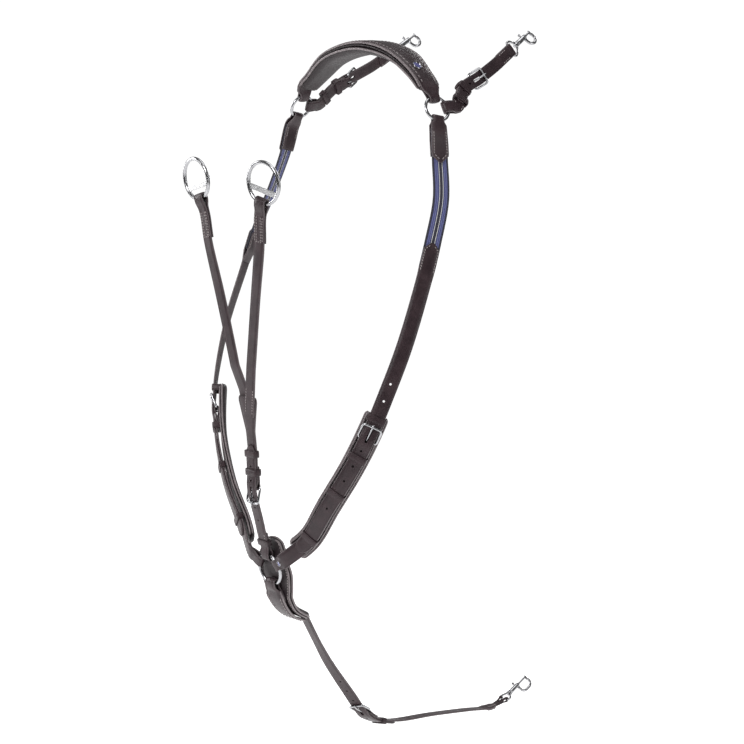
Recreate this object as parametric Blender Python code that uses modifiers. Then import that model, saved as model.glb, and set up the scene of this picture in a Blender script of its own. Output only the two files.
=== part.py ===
"""Breastplate for a horse: neck straps with elastic, chest pad, running martingale and girth strap.

Row frame in metres: +Z up, the horse faces -Y, +X is its left side.  The origin is the point
where the wither pad rests, on the underside of the pad at the top of its arch.

Every strap is made flat, as a band in (along, across, out) coordinates, and is then wrapped
onto a route: a smooth line through a few points with the way the leather faces at each.
"""
import math

import bmesh
import bpy
import numpy as np
from mathutils import Matrix, Vector

# ------------------------------------------------------------------ driving sizes
GAP = 0.0003                 # play between pieces that touch
STRAP = 0.019                # shoulder and lower neck straps
NARROW = 0.016               # saddle, martingale and girth straps
LEATHER = 0.0024             # one layer of strap leather
SKIVED = 0.0016              # the same leather pared down where it turns back
TURN = 0.0018                # thickness of the leather round a bar or ring
STEP = 0.010                 # spacing of the sections along a strap
SLIVER = 0.00003             # edges shorter than this are closed up after a cut

BUCKLE_WIRE = 0.0014         # radius of a buckle's wire
BUCKLE_LENGTH = 0.018        # heel bar to outer bar
PRONG_WIRE = 0.0010
HEEL = -0.0035               # height of the heel bar under the middle of the billet
CHAPE = -(LEATHER + GAP)     # height of the chape's upper layer, under the billet
FOLD = CHAPE - LEATHER / 2 - GAP - SKIVED / 2
DOUBLE = -(LEATHER / 2 + GAP + SKIVED / 2)   # height of a layer turned back under a strap at height 0
RISE = HEEL + BUCKLE_WIRE + GAP + TURN + GAP + LEATHER / 2
OUTER_BAR = LEATHER / 2 + GAP + BUCKLE_WIRE

WITHER_RING = 0.015          # centre line radius of the rings at the withers
WITHER_WIRE = 0.0019
CHEST_RING = 0.019
CHEST_WIRE = 0.0021
REIN_RING = 0.0238           # martingale rings that the reins run through
REIN_WIRE = 0.0022
RING_LOOP = 0.0142           # width of a strap where it goes round a ring
RING_PLAY = 0.0005           # more room than GAP round a ring, so that the strap can tilt on it
ELASTIC = 0.0016             # thickness of the elastic inserts

WITHER_CENTRE = (0.119, -0.009, -0.064)
WITHER_TILT = 26             # degrees the ring's face looks up
WITHER_YAW = {"l": 14, "r": -2}
FACE_YAW = {"l": (26, 62), "r": (8, 60)}     # how far forward each neck strap faces, top and bottom

# the neck strap's line on the horse's left, from below the wither ring to above the chest ring
SIDE_LINE = [
    (0.1365, -0.0220, -0.123),
    (0.1490, -0.0330, -0.168),
    (0.1560, -0.0530, -0.215),
    (0.1585, -0.0735, -0.266),
    (0.1587, -0.1015, -0.331),
    (0.1510, -0.1250, -0.389),
    (0.1414, -0.1385, -0.428),
    (0.1230, -0.1520, -0.473),
    (0.0930, -0.1630, -0.523),
    (0.0630, -0.1665, -0.566),
]
WITHER_LINE = [(0.094, -0.0075, -0.0235), (0.066, -0.0060, -0.0015), (0.034, -0.0050, 0.0105)]
WITHER_TOP = 0.0145          # middle of the top leather above the underside of the pad
FACET = 0.008                # half length of the flat on the underside that the part rests on
FACET_SAG = 0.0002           # how far that flat would lie under the rest point
SADDLE_LINE = [
    (0.1040, 0.1370, 0.0060),
    (0.1055, 0.1200, -0.0040),
    (0.1075, 0.1020, -0.0140),
    (0.1120, 0.0700, -0.0285),
    (0.1145, 0.0430, -0.0400),
]
CHEST_LINE = [               # straight from the second point to the sixth, where the ring lies
    (0, -0.1660, -0.5730),
    (0, -0.1681, -0.5983),
    (0, -0.1655, -0.6110),
    (0, -0.1629, -0.6237),
    (0, -0.1603, -0.6364),
    (0, -0.1577, -0.6491),
    (0, -0.1430, -0.6690),
    (0, -0.1155, -0.6860),
]
CHEST_RING_OUT = 0.0056      # ring's plane in front of the pad
MARTINGALE_LINE = [
    (0, -0.1820, -0.5700),
    (0, -0.1880, -0.5460),
    (0, -0.1950, -0.5210),
    (0, -0.1975, -0.4950),
    (0, -0.1990, -0.4620),
    (0, -0.2030, -0.4250),
    (0, -0.2060, -0.3950),
]
ARM_LINE = [
    (0.0045, -0.2035, -0.4200),
    (0.0085, -0.2061, -0.3940),
    (0.0165, -0.2088, -0.3513),
    (0.0315, -0.2147, -0.2794),
    (0.0450, -0.2200, -0.2200),
]
REIN_CENTRE = (0.0600, -0.2265, -0.1445)
GIRTH_LINE = [
    (0, -0.1128, -0.6882),
    (0, -0.0950, -0.7200),
    (0, -0.0735, -0.7550),
    (0, -0.0400, -0.8010),
    (0, -0.0215, -0.8260),
    (0, 0.0000, -0.8460),
    (0, 0.0420, -0.8600),
    (0, 0.1080, -0.8690),
    (0, 0.1760, -0.8800),
    (0, 0.2200, -0.8880),
    (0, 0.2420, -0.8870),
    (0, 0.2560, -0.8840),
]


# ------------------------------------------------------------------ routes
def unit(vector):
    vector = np.asarray(vector, float)
    return vector / np.linalg.norm(vector)


def smooth(rows, at):
    """Catmull-Rom values through rows, at parameters from 0 to len(rows) - 1."""
    rows = np.asarray(rows, float)
    ends = np.vstack([2 * rows[0] - rows[1], rows, 2 * rows[-1] - rows[-2]])
    start = np.minimum(at.astype(int), len(rows) - 2)
    t = (at - start)[:, None]
    a, b, c, d = ends[start], ends[start + 1], ends[start + 2], ends[start + 3]
    return 0.5 * (2 * b + (c - a) * t + (2 * a - 5 * b + 4 * c - d) * t**2
                  + (3 * b - a - 3 * c + d) * t**3)


class Route:
    """A smooth line with the way its face looks, walked by the distance along it."""

    def __init__(self, points, faces, steps=24):
        at = np.linspace(0, len(points) - 1, (len(points) - 1) * steps + 1)
        self.line = smooth(points, at)
        tangent = np.gradient(self.line, axis=0)
        self.tangent = tangent / np.linalg.norm(tangent, axis=1)[:, None]
        face = smooth(faces, at)
        face -= self.tangent * np.sum(face * self.tangent, axis=1)[:, None]
        self.face = face / np.linalg.norm(face, axis=1)[:, None]
        self.side = np.cross(self.face, self.tangent)
        self.reach = np.r_[0, np.cumsum(np.linalg.norm(np.diff(self.line, axis=0), axis=1))]
        self.length = self.reach[-1]

    def pick(self, values, s):
        return np.stack([np.interp(s, self.reach, values[:, i]) for i in range(3)], axis=-1)

    def frame(self, s):
        """Point, tangent, side and face at distance s, straight on past both ends."""
        s = np.asarray(s, float)
        tangent = self.pick(self.tangent, s)
        past = s - np.clip(s, 0, self.length)
        point = self.pick(self.line, s) + tangent * past[..., None]
        return point, tangent, self.pick(self.side, s), self.pick(self.face, s)

    def wrap(self, flat):
        """World places of flat (along, across, out) coordinates."""
        flat = np.asarray(flat, float)
        point, _, side, face = self.frame(flat[..., 0])
        return point + side * flat[..., 1:2] + face * flat[..., 2:3]

    def at_height(self, z):
        """Distance along at which the route passes height z."""
        return float(self.reach[np.argmin(np.abs(self.line[:, 2] - z))])


# ------------------------------------------------------------------ flat shapes
def loft(sections, closed=False):
    """A solid through equal loops of points, capped at both ends unless closed."""
    bm = bmesh.new()
    loops = [[bm.verts.new(p) for p in section] for section in sections]
    pairs = list(zip(loops, loops[1:]))
    if closed:
        pairs.append((loops[-1], loops[0]))
    for one, two in pairs:
        for i in range(len(one)):
            j = (i + 1) % len(one)
            bm.faces.new((one[i], one[j], two[j], two[i]))
    if not closed:
        bm.faces.new(loops[0])
        bm.faces.new(loops[-1])
    return outward(bm)


def band(path, widths):
    """A strap along a path of (along, out, thickness) rows, with its width at each row."""
    path = np.asarray(path, float)
    run = np.gradient(path[:, :2], axis=0)
    run /= np.linalg.norm(run, axis=1)[:, None]
    sections = []
    for (s, h, thick), (ds, dh), width in zip(path, run, widths):
        up = np.array((-dh, ds)) * thick / 2
        sections.append([
            (s + up[0], -width / 2, h + up[1]),
            (s + up[0], width / 2, h + up[1]),
            (s - up[0], width / 2, h - up[1]),
            (s - up[0], -width / 2, h - up[1]),
        ])
    return loft(sections)


def straight(start, end, h, thick, step=STEP):
    """Path rows from start to end at one height, at places that layers of a strap have in common."""
    low, high = min(start, end), max(start, end)
    first = math.floor(low / step) + 1
    places = [low] + [i * step for i in range(first, math.ceil(high / step))] + [high]
    places = [s for s in places if s in (low, high) or min(s - low, high - s) > 0.002]
    rows = [(s, h, thick) for s in places]
    return rows if end > start else rows[::-1]


def turned(bar, bar_h, inside, main_h, fold_h, run, back, slack=0.0, main=LEATHER, fold=SKIVED):
    """Path rows of an end that comes in along main_h, goes round a bar and back along fold_h.

    The strap lies at larger distances than the bar.  slack lengthens the eye, for a bent bar.
    """
    radius = inside + GAP + TURN / 2
    rows = [(bar + run, main_h, main)]
    for share in (0.5, 0.0):
        lift = main_h + (bar_h + radius - main_h) * (0.5 + 0.5 * math.cos(math.pi * share))
        rows.append((bar + 0.001 + (run - 0.001) * share, lift, main + (TURN - main) * (1 - share)))
    for angle in np.linspace(90, 270, 7):
        a = math.radians(angle)
        rows.append((bar - slack + radius * math.cos(a), bar_h + radius * math.sin(a), TURN))
    for share in (0.0, 0.5):
        drop = fold_h + (bar_h - radius - fold_h) * (0.5 + 0.5 * math.cos(math.pi * share))
        rows.append((bar + 0.001 + (run - 0.001) * share, drop, TURN + (fold - TURN) * share))
    rows.append((bar + run, fold_h, fold))
    rows += straight(bar + run, bar + back, fold_h, fold)[1:]
    return rows


def mirrored(rows, about):
    """The same path running the other way, turned over the place about."""
    return [(2 * about - s, h, t) for s, h, t in rows][::-1]


def ring_slack(ring, wire, width):
    """How much longer an eye must be to take a round ring's bend across the strap."""
    half = width / 2
    bend = ring - math.sqrt(ring**2 - half**2)
    return bend + wire * (1 / math.cos(math.asin(half / ring)) - 1) + GAP + RING_PLAY


def keeper(s, width, bottom, top, length=0.008, thick=0.0012):
    """A leather loop across the strap at s, round what lies between bottom and top."""
    half = width / 2 + 0.0005
    cut = 0.0003
    sections = []
    for grow, along in ((0, s - length / 2), (thick, s - length / 2), (thick, s + length / 2),
                        (0, s + length / 2)):
        w = half + grow
        low = bottom - GAP - grow
        high = top + GAP + grow
        c = cut + grow * 0.7
        sections.append([
            (along, -w, low + c), (along, -w + c, low), (along, w - c, low), (along, w, low + c),
            (along, w, high - c), (along, w - c, high), (along, -w + c, high), (along, -w, high - c),
        ])
    return loft(sections, closed=True)


def box(low, high):
    low = Vector(low)
    high = Vector(high)
    bm = bmesh.new()
    place = Matrix.Translation((low + high) / 2) @ Matrix.Diagonal((*(high - low), 1))
    bmesh.ops.create_cube(bm, size=1, matrix=place)
    return bm


def wire(points, radius, closed=False):
    """A round wire through the points, as a mesh."""
    curve = bpy.data.curves.new("wire", "CURVE")
    curve.dimensions = "3D"
    curve.bevel_depth = radius
    curve.bevel_resolution = 2
    curve.use_fill_caps = not closed
    spline = curve.splines.new("POLY")
    spline.points.add(len(points) - 1)
    for point, place in zip(spline.points, points):
        point.co = (*place, 1)
    spline.use_cyclic_u = closed
    holder = bpy.data.objects.new("wire", curve)
    bm = evaluated(holder)
    bmesh.ops.remove_doubles(bm, verts=bm.verts, dist=0.000001)
    bmesh.ops.recalc_face_normals(bm, faces=bm.faces)
    bpy.data.curves.remove(curve)
    return bm


def evaluated(holder):
    """The mesh of an object as the viewport shows it; the object is removed."""
    bpy.context.scene.collection.objects.link(holder)
    graph = bpy.context.evaluated_depsgraph_get()
    mesh = bpy.data.meshes.new_from_object(holder.evaluated_get(graph))
    bm = bmesh.new()
    bm.from_mesh(mesh)
    bpy.data.objects.remove(holder)
    bpy.data.meshes.remove(mesh)
    return bm


def combine(base, tool, operation):
    """Boolean of two meshes; both are used up."""
    holders = []
    for bm in (base, tool):
        mesh = bpy.data.meshes.new("blank")
        bm.to_mesh(mesh)
        bm.free()
        holders.append(bpy.data.objects.new("blank", mesh))
    bpy.context.scene.collection.objects.link(holders[1])
    modifier = holders[0].modifiers.new("cut", "BOOLEAN")
    modifier.operation = operation
    modifier.solver = "EXACT"
    modifier.object = holders[1]
    result = evaluated(holders[0])
    bpy.data.objects.remove(holders[1])
    bmesh.ops.triangulate(result, faces=result.faces)
    bmesh.ops.dissolve_degenerate(result, dist=SLIVER, edges=result.edges)
    bmesh.ops.triangulate(result, faces=result.faces)
    return result


def joined(base, tools):
    """One solid from a strap and what is sewn to it."""
    for tool in tools:
        base = combine(base, tool, "UNION")
    return base


def sewn_keeper(s, width, bottom, top):
    """A keeper sewn to the leather whose underside is at bottom: it bites a little into it."""
    return keeper(s, width, bottom + 0.0006, top)


def outward(bm):
    """Turn the faces of a closed mesh so that they look out."""
    bmesh.ops.recalc_face_normals(bm, faces=bm.faces)
    if bm.calc_volume(signed=True) < 0:
        bmesh.ops.reverse_faces(bm, faces=bm.faces)
    return bm


def turned_solid(profile, sides=10):
    """A solid of revolution about X from (along, radius) rows."""
    rows = [(profile[0][0], 0), *profile, (profile[-1][0], 0)]
    mesh = bpy.data.meshes.new("profile")
    mesh.from_pydata([(along, radius, 0) for along, radius in rows],
                     [(i, i + 1) for i in range(len(rows) - 1)], [])
    holder = bpy.data.objects.new("profile", mesh)
    screw = holder.modifiers.new("turn", "SCREW")
    screw.axis = "X"
    screw.steps = sides
    screw.render_steps = sides
    screw.use_merge_vertices = True
    screw.merge_threshold = 0.00001
    bm = evaluated(holder)
    bpy.data.meshes.remove(mesh)
    return outward(bm)


# ------------------------------------------------------------------ nodes and bodies
def clear_scene():
    for item in list(bpy.data.objects):
        bpy.data.objects.remove(item)


def material(name, colour, roughness, metallic=0.0):
    result = bpy.data.materials.new(name)
    result.use_nodes = True
    shader = result.node_tree.nodes["Principled BSDF"]
    shader.inputs["Base Color"].default_value = (*colour, 1)
    shader.inputs["Roughness"].default_value = roughness
    shader.inputs["Metallic"].default_value = metallic
    return result


class Model:
    """The collection of nodes, with one empty for each body on its joint."""

    def __init__(self):
        self.collection = bpy.data.collections.new("breastplate")
        bpy.context.scene.collection.children.link(self.collection)
        self.pivots = {}
        self.empties = {}
        self.joints = {}
        self.finishes = {
            "leather": material("leather", (0.045, 0.030, 0.030), 0.45),
            "padding": material("padding", (0.035, 0.026, 0.027), 0.6),
            "elastic": material("elastic", (0.10, 0.16, 0.45), 0.8),
            "steel": material("steel", (0.75, 0.75, 0.77), 0.18, 1.0),
            "badge": material("badge", (0.12, 0.12, 0.35), 0.3),
        }

    def body(self, name, pivot, parent=None, axis=None):
        empty = bpy.data.objects.new(name + "_pivot", None)
        empty.empty_display_size = 0.01
        self.collection.objects.link(empty)
        pivot = Vector(pivot)
        empty.location = pivot
        if parent:
            empty.parent = self.empties[parent]
            empty.location = pivot - self.pivots[parent]
        self.pivots[name] = pivot
        self.empties[name] = empty
        self.joints[name] = (parent, tuple(pivot), axis)

    def node(self, name, body, bm, finish, route=None, place=None):
        """Add a node: a flat mesh wrapped on a route, or a mesh put in place by a matrix."""
        if place is not None:
            bmesh.ops.transform(bm, matrix=place, verts=bm.verts)
        if route is not None:
            flat = np.array([v.co for v in bm.verts])
            for v, co in zip(bm.verts, route.wrap(flat)):
                v.co = co
        pivot = self.pivots[body]
        for v in bm.verts:
            v.co -= pivot
        mesh = bpy.data.meshes.new(name)
        bm.to_mesh(mesh)
        bm.free()
        mesh.materials.append(self.finishes[finish])
        mesh.shade_smooth()
        mesh.set_sharp_from_angle(angle=math.radians(35))
        item = bpy.data.objects.new(name, mesh)
        item.parent = self.empties[body]
        self.collection.objects.link(item)
        return item


def basis(x_axis, y_axis, origin):
    """Matrix whose X is x_axis and whose Y leans to y_axis."""
    x_axis = Vector(x_axis).normalized()
    y_axis = Vector(y_axis)
    y_axis = (y_axis - x_axis * y_axis.dot(x_axis)).normalized()
    z_axis = x_axis.cross(y_axis)
    turn = Matrix((x_axis, y_axis, z_axis)).transposed().to_4x4()
    return Matrix.Translation(Vector(origin)) @ turn


def torus(major, minor, place):
    bpy.ops.mesh.primitive_torus_add(major_segments=24, minor_segments=8, major_radius=major,
                                     minor_radius=minor)
    item = bpy.context.object
    mesh = item.data
    bm = bmesh.new()
    bm.from_mesh(mesh)
    bpy.data.objects.remove(item)
    bpy.data.meshes.remove(mesh)
    bmesh.ops.transform(bm, matrix=place, verts=bm.verts)
    return bm


# ------------------------------------------------------------------ buckles
def buckle_frame(s, width):
    """Wire frame round the billet, tilted so that the outer bar lies over it."""
    half = width / 2 + 0.0007 + BUCKLE_WIRE
    corner = 0.003
    slope = (OUTER_BAR - HEEL) / BUCKLE_LENGTH
    points = []
    corners = [(-corner, half - corner, 0), (-BUCKLE_LENGTH + corner, half - corner, 90),
               (-BUCKLE_LENGTH + corner, -half + corner, 180), (-corner, -half + corner, 270)]
    for centre_s, centre_w, start in corners:
        for angle in np.linspace(start, start + 90, 3):
            a = math.radians(angle)
            along = centre_s + corner * math.cos(a)
            points.append((s + along, centre_w + corner * math.sin(a), HEEL - along * slope))
    return wire(points, BUCKLE_WIRE, closed=True)


def buckle_prong(s):
    """Wire tongue that turns on the heel bar and rests on the outer bar."""
    eye = BUCKLE_WIRE + GAP + PRONG_WIRE
    rest = OUTER_BAR - HEEL + BUCKLE_WIRE + GAP + PRONG_WIRE
    far = math.hypot(BUCKLE_LENGTH, rest)
    leave = math.degrees(math.atan2(rest, -BUCKLE_LENGTH) - math.acos(eye / far))
    points = []
    for angle in np.linspace(leave + 85 - 360, leave, 9):
        a = math.radians(angle)
        points.append((s + eye * math.cos(a), 0, HEEL + eye * math.sin(a)))
    points.append((s - BUCKLE_LENGTH, 0, HEEL + rest))
    points.append((s - BUCKLE_LENGTH - 0.0025, 0, HEEL + rest - 0.0004))
    return wire(points, PRONG_WIRE)


def billet_rows(start, buckle, end):
    """Path rows of a billet that goes under the outer bar and over the heel bar."""
    run = 0.013
    rows = straight(start, buckle - BUCKLE_LENGTH - 0.002, 0, LEATHER)
    for share in np.linspace(0, 1, 6)[1:]:
        rise = RISE * (0.5 - 0.5 * math.cos(math.pi * share))
        rows.append((buckle - 0.0175 + 0.0165 * share, rise, LEATHER))
    rows.append((buckle + 0.003, RISE, LEATHER))
    for share in (0.33, 0.67, 1.0):
        rise = RISE * (0.5 + 0.5 * math.cos(math.pi * share))
        rows.append((buckle + 0.003 + run * share, rise, LEATHER))
    return rows + straight(buckle + 0.003 + run, end, 0, LEATHER)[1:]


def tapered(rows, width, tip=0.0, start=0.0, narrow=0.45):
    """Width at each row: full, narrowed over tip at the far end and over start at the near end."""
    s = np.array([row[0] for row in rows])
    result = np.full(len(rows), float(width))
    if tip:
        result *= np.clip(narrow + (1 - narrow) * (s.max() - s) / tip, 0, 1)
    if start:
        result *= np.clip(narrow + (1 - narrow) * (s - s.min()) / start, 0, 1)
    return result


def narrowed(rows, widths, bar, width):
    """The widths with the eye round a buckle's bar kept clear of the frame's corners."""
    s = np.array([row[0] for row in rows])
    return np.where(np.abs(s - bar) < 0.007, np.minimum(widths, width - 0.0022), widths)


def prong_slot(mesh, buckle):
    """Cut the hole that the prong comes up through."""
    half = PRONG_WIRE + 0.0007
    tool = box((buckle - 0.0130, -half, -0.01), (buckle + 0.0022, half, 0.01))
    return combine(mesh, tool, "DIFFERENCE")


def heel_slot(mesh, buckle):
    """Cut the gap in the chape's eye that the prong turns in."""
    half = PRONG_WIRE + 0.0008
    tool = box((buckle - 0.007, -half, HEEL - 0.006), (buckle + 0.0055, half, HEEL + 0.006))
    return combine(mesh, tool, "DIFFERENCE")


def add_buckle(model, name, route, s, width, body):
    """Frame on one body and prong on its own, hinged on the heel bar."""
    point = route.wrap((s, 0, HEEL))
    side = route.frame(s)[2]
    model.node(name + "_buckle" + body["suffix"], body["name"], buckle_frame(s, width), "steel", route)
    prong = name + "_prong" + body["suffix"]
    model.body(prong, point, body["name"], tuple(side))
    model.node(prong, prong, buckle_prong(s), "steel", route)


# ------------------------------------------------------------------ snaps
EYE_LENGTH = 0.0110          # bar to swivel boss
BOSS_LENGTH = 0.0030
SHANK_END = 0.0330
CLAW = 0.0068                # centre line radius of the claw
CLAW_WIRE = 0.0019


def snap_eye(width):
    """Oval eye with the boss that the hook swivels in; X along the snap, Y along the bar."""
    half = width / 2 + 0.0005 + BUCKLE_WIRE
    points = [(0, -half + 0.002), (0, half - 0.002), (0.0008, half - 0.0004), (0.0030, half),
              (0.0060, half - 0.0012), (0.0095, 0.0050), (EYE_LENGTH + 0.0015, 0.0026)]
    loop = points + [(x, -y) for x, y in reversed(points[2:])]
    body = wire([(x, y, 0) for x, y in loop], BUCKLE_WIRE, closed=True)
    boss = turned_solid([(EYE_LENGTH, 0.0036), (EYE_LENGTH + BOSS_LENGTH, 0.0034)])
    body = combine(body, boss, "UNION")
    bore = turned_solid([(EYE_LENGTH - 0.006, 0.0018), (EYE_LENGTH + 0.006, 0.0018)])
    body = combine(body, bore, "DIFFERENCE")
    return body


def snap_hook(reach=0.0):
    """Swivel pin, shank and claw; the claw opens towards -Y and the bolt closes it on the axis."""
    top = EYE_LENGTH + BOSS_LENGTH
    profile = [(EYE_LENGTH - 0.0021, 0.0016), (EYE_LENGTH - 0.0018, 0.0023), (EYE_LENGTH - GAP, 0.0023),
               (EYE_LENGTH - GAP, 0.0014), (top + GAP, 0.0014), (top + GAP, 0.0031),
               (top + 0.004, 0.0033), (SHANK_END - 0.003, 0.0031), (SHANK_END, 0.0027)]
    body = turned_solid(profile)
    centre = SHANK_END + 0.0045
    points = [(SHANK_END - 0.0045, 0.0012, 0), (centre - CLAW - 0.0008, 0.0042, 0)]
    for angle in np.linspace(165, 90, 5):
        a = math.radians(angle)
        points.append((centre + CLAW * math.cos(a), CLAW + CLAW * math.sin(a), 0))
    for angle in np.linspace(90, -35, 8):
        a = math.radians(angle)
        points.append((centre + reach + CLAW * math.cos(a), CLAW + CLAW * math.sin(a), 0))
    points.append((centre + reach + 0.0058, -0.0008, 0))
    body = combine(body, wire(points, CLAW_WIRE), "UNION")
    bore = turned_solid([(SHANK_END - 0.0155, 0.0017), (SHANK_END + 0.0020, 0.0017)], 10)
    body = combine(body, bore, "DIFFERENCE")
    slot = box((SHANK_END - 0.0150, -0.006, -0.0012), (SHANK_END - 0.0040, 0, 0.0012))
    return combine(body, slot, "DIFFERENCE")


def snap_bolt(reach=0.0):
    """Sprung bolt with its thumb knob."""
    back = SHANK_END - 0.0080
    tip = SHANK_END + 0.0045 + reach + 0.0058 - CLAW_WIRE - GAP
    body = turned_solid([(back, 0.0013), (tip, 0.0013)], 10)
    knob_at = back + 0.0022
    knob = turned_solid([(0, 0.0008), (0.0042, 0.0008), (0.0046, 0.0017), (0.0064, 0.0019),
                         (0.0074, 0.0012)], 10)
    turn = Matrix.Translation((knob_at, 0, 0)) @ Matrix.Rotation(math.radians(-90), 4, "Z")
    bmesh.ops.transform(knob, matrix=turn, verts=knob.verts)
    return combine(body, knob, "UNION")


def add_snap(model, name, suffix, parent, pivot, along, across, aside, width, reach=0.0):
    """Eye tilting on the strap, hook swivelling in the eye, bolt sliding in the hook."""
    eye = name + "_snap_eye" + suffix
    hook = name + "_snap_hook" + suffix
    bolt = name + "_snap_bolt" + suffix
    model.body(eye, pivot, parent, tuple(across))
    model.node(eye, eye, snap_eye(width), "steel", place=basis(along, across, pivot))
    turn = basis(along, aside, pivot)
    swivel = turn @ Vector((EYE_LENGTH, 0, 0))
    model.body(hook, swivel, eye, tuple(unit(along)))
    model.node(hook, hook, snap_hook(reach), "steel", place=turn)
    model.body(bolt, turn @ Vector((SHANK_END, 0, 0)), hook, tuple(-unit(along)))
    model.node(bolt, bolt, snap_bolt(reach), "steel", place=turn)


# ------------------------------------------------------------------ rings and their frames
SIGN = {"l": 1, "r": -1}


def wither_frame(side):
    """Centre, outward normal, up and back directions of a wither ring."""
    sign = SIGN[side]
    tilt = math.radians(WITHER_TILT)
    yaw = math.radians(WITHER_YAW[side])
    x, y, z = WITHER_CENTRE
    normal = np.array((sign * math.cos(tilt) * math.cos(yaw), -math.cos(tilt) * math.sin(yaw),
                       math.sin(tilt)))
    up = unit(np.array((0, 0, 1)) - normal * normal[2])
    back = sign * np.cross(up, normal)
    return np.array((sign * x, y, z)), normal, up, back


def heading(up, back, degrees):
    a = math.radians(degrees)
    return up * math.cos(a) + back * math.sin(a)


def chest_route():
    return Route(CHEST_LINE, [(0, -1, -0.15)] * len(CHEST_LINE))


def chest_frame():
    """Centre, normal, up and left directions of the chest ring."""
    route = chest_route()
    s = route.reach[48]
    _, tangent, _, face = route.frame(s)
    centre = route.wrap((s, 0, CHEST_RING_OUT))
    return centre, face, -tangent, np.array((1.0, 0, 0))


def rein_frame(side):
    """Centre, normal and up direction of a martingale ring."""
    sign = SIGN[side]
    x, y, z = REIN_CENTRE
    up = unit((sign * 0.25, -0.085, 0.965))
    normal = np.array((sign * 0.10, -1.0, 0.0))
    normal = unit(normal - up * np.dot(normal, up))
    return np.array((sign * x, y, z)), normal, up


def side_route(side):
    sign = SIGN[side]
    centre, normal, up, back = wither_frame(side)
    down = heading(up, back, 192)
    chest, chest_face, chest_up, left = chest_frame()
    out = sign * left * math.cos(math.radians(30)) + chest_up * math.sin(math.radians(30))
    points = [centre + down * step for step in (0, 0.010, 0.020, 0.030)]
    faces = [normal] * 4
    yaws = np.linspace(*FACE_YAW[side], len(SIDE_LINE))
    for (x, y, z), yaw in zip(SIDE_LINE, yaws):
        points.append((sign * x, y, z))
        faces.append((sign * math.cos(math.radians(yaw)), -math.sin(math.radians(yaw)), 0.05))
    chest = chest - chest_face * (CHAPE + FOLD) / 2
    points += [chest + out * step for step in (0.039, 0.026, 0.013, 0)]
    faces += [unit(chest_face + sign * left * 0.35)] + [chest_face] * 3
    return Route(points, faces)


def wither_route():
    ends = {}
    for side in SIGN:
        centre, normal, up, back = wither_frame(side)
        rise = heading(up, back, -6)
        centre = centre - normal * DOUBLE / 2
        ends[side] = ([centre + rise * step for step in (0, 0.010, 0.020, 0.028)], [normal] * 4)
    inner = WITHER_LINE
    face = [(0.62, 0, 0.78), (0.42, 0, 0.9), (0.2, 0, 0.98)]
    points = ends["l"][0] + inner + [(0, -0.0045, WITHER_TOP + FACET_SAG)]
    points += [(-x, y, z) for x, y, z in reversed(inner)] + ends["r"][0][::-1]
    faces = ends["l"][1] + face + [(0, 0, 1)]
    faces += [(-x, y, z) for x, y, z in reversed(face)] + ends["r"][1]
    return Route(points, faces)


def saddle_route(side):
    """From the snap's bar to the centre of the wither ring."""
    sign = SIGN[side]
    centre, normal, up, back = wither_frame(side)
    out = heading(up, back, 83)
    points = [(sign * x, y, z) for x, y, z in SADDLE_LINE]
    centre = centre - normal * (CHAPE + FOLD) / 2
    points += [centre + out * step for step in (0.030, 0.020, 0.010, 0)]
    first = unit((sign * 0.93, -0.12 * sign, 0.3))
    faces = [first] * (len(SADDLE_LINE) - 1) + [unit(first + normal)] + [normal] * 4
    return Route(points, faces)


def martingale_route():
    centre, normal, up, _ = chest_frame()
    centre = centre - normal * DOUBLE / 2
    points = [centre + up * step for step in (0, 0.013, 0.026)] + MARTINGALE_LINE
    faces = [normal] * 3 + [(0, -1, 0)] * len(MARTINGALE_LINE)
    return Route(points, faces)


def arm_route(side):
    """From the fork up to the centre of the rein ring."""
    sign = SIGN[side]
    centre, normal, up = rein_frame(side)
    points = [(sign * x, y, z) for x, y, z in ARM_LINE]
    points += [centre - up * step for step in (0.045, 0.030, 0.015, 0)]
    faces = [(0, -1, 0)] * 4 + [normal] * 5
    return Route(points, faces)


def girth_route():
    faces = [(0, -0.8, -0.6)] * 2 + [(0.2, -0.75, -0.5), (0.4, -0.7, -0.45), (0.4, -0.6, -0.6),
             (0.25, -0.5, -0.8)] + [(0.1, -0.1, -1)] * 6
    return Route(GIRTH_LINE, faces)


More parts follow.
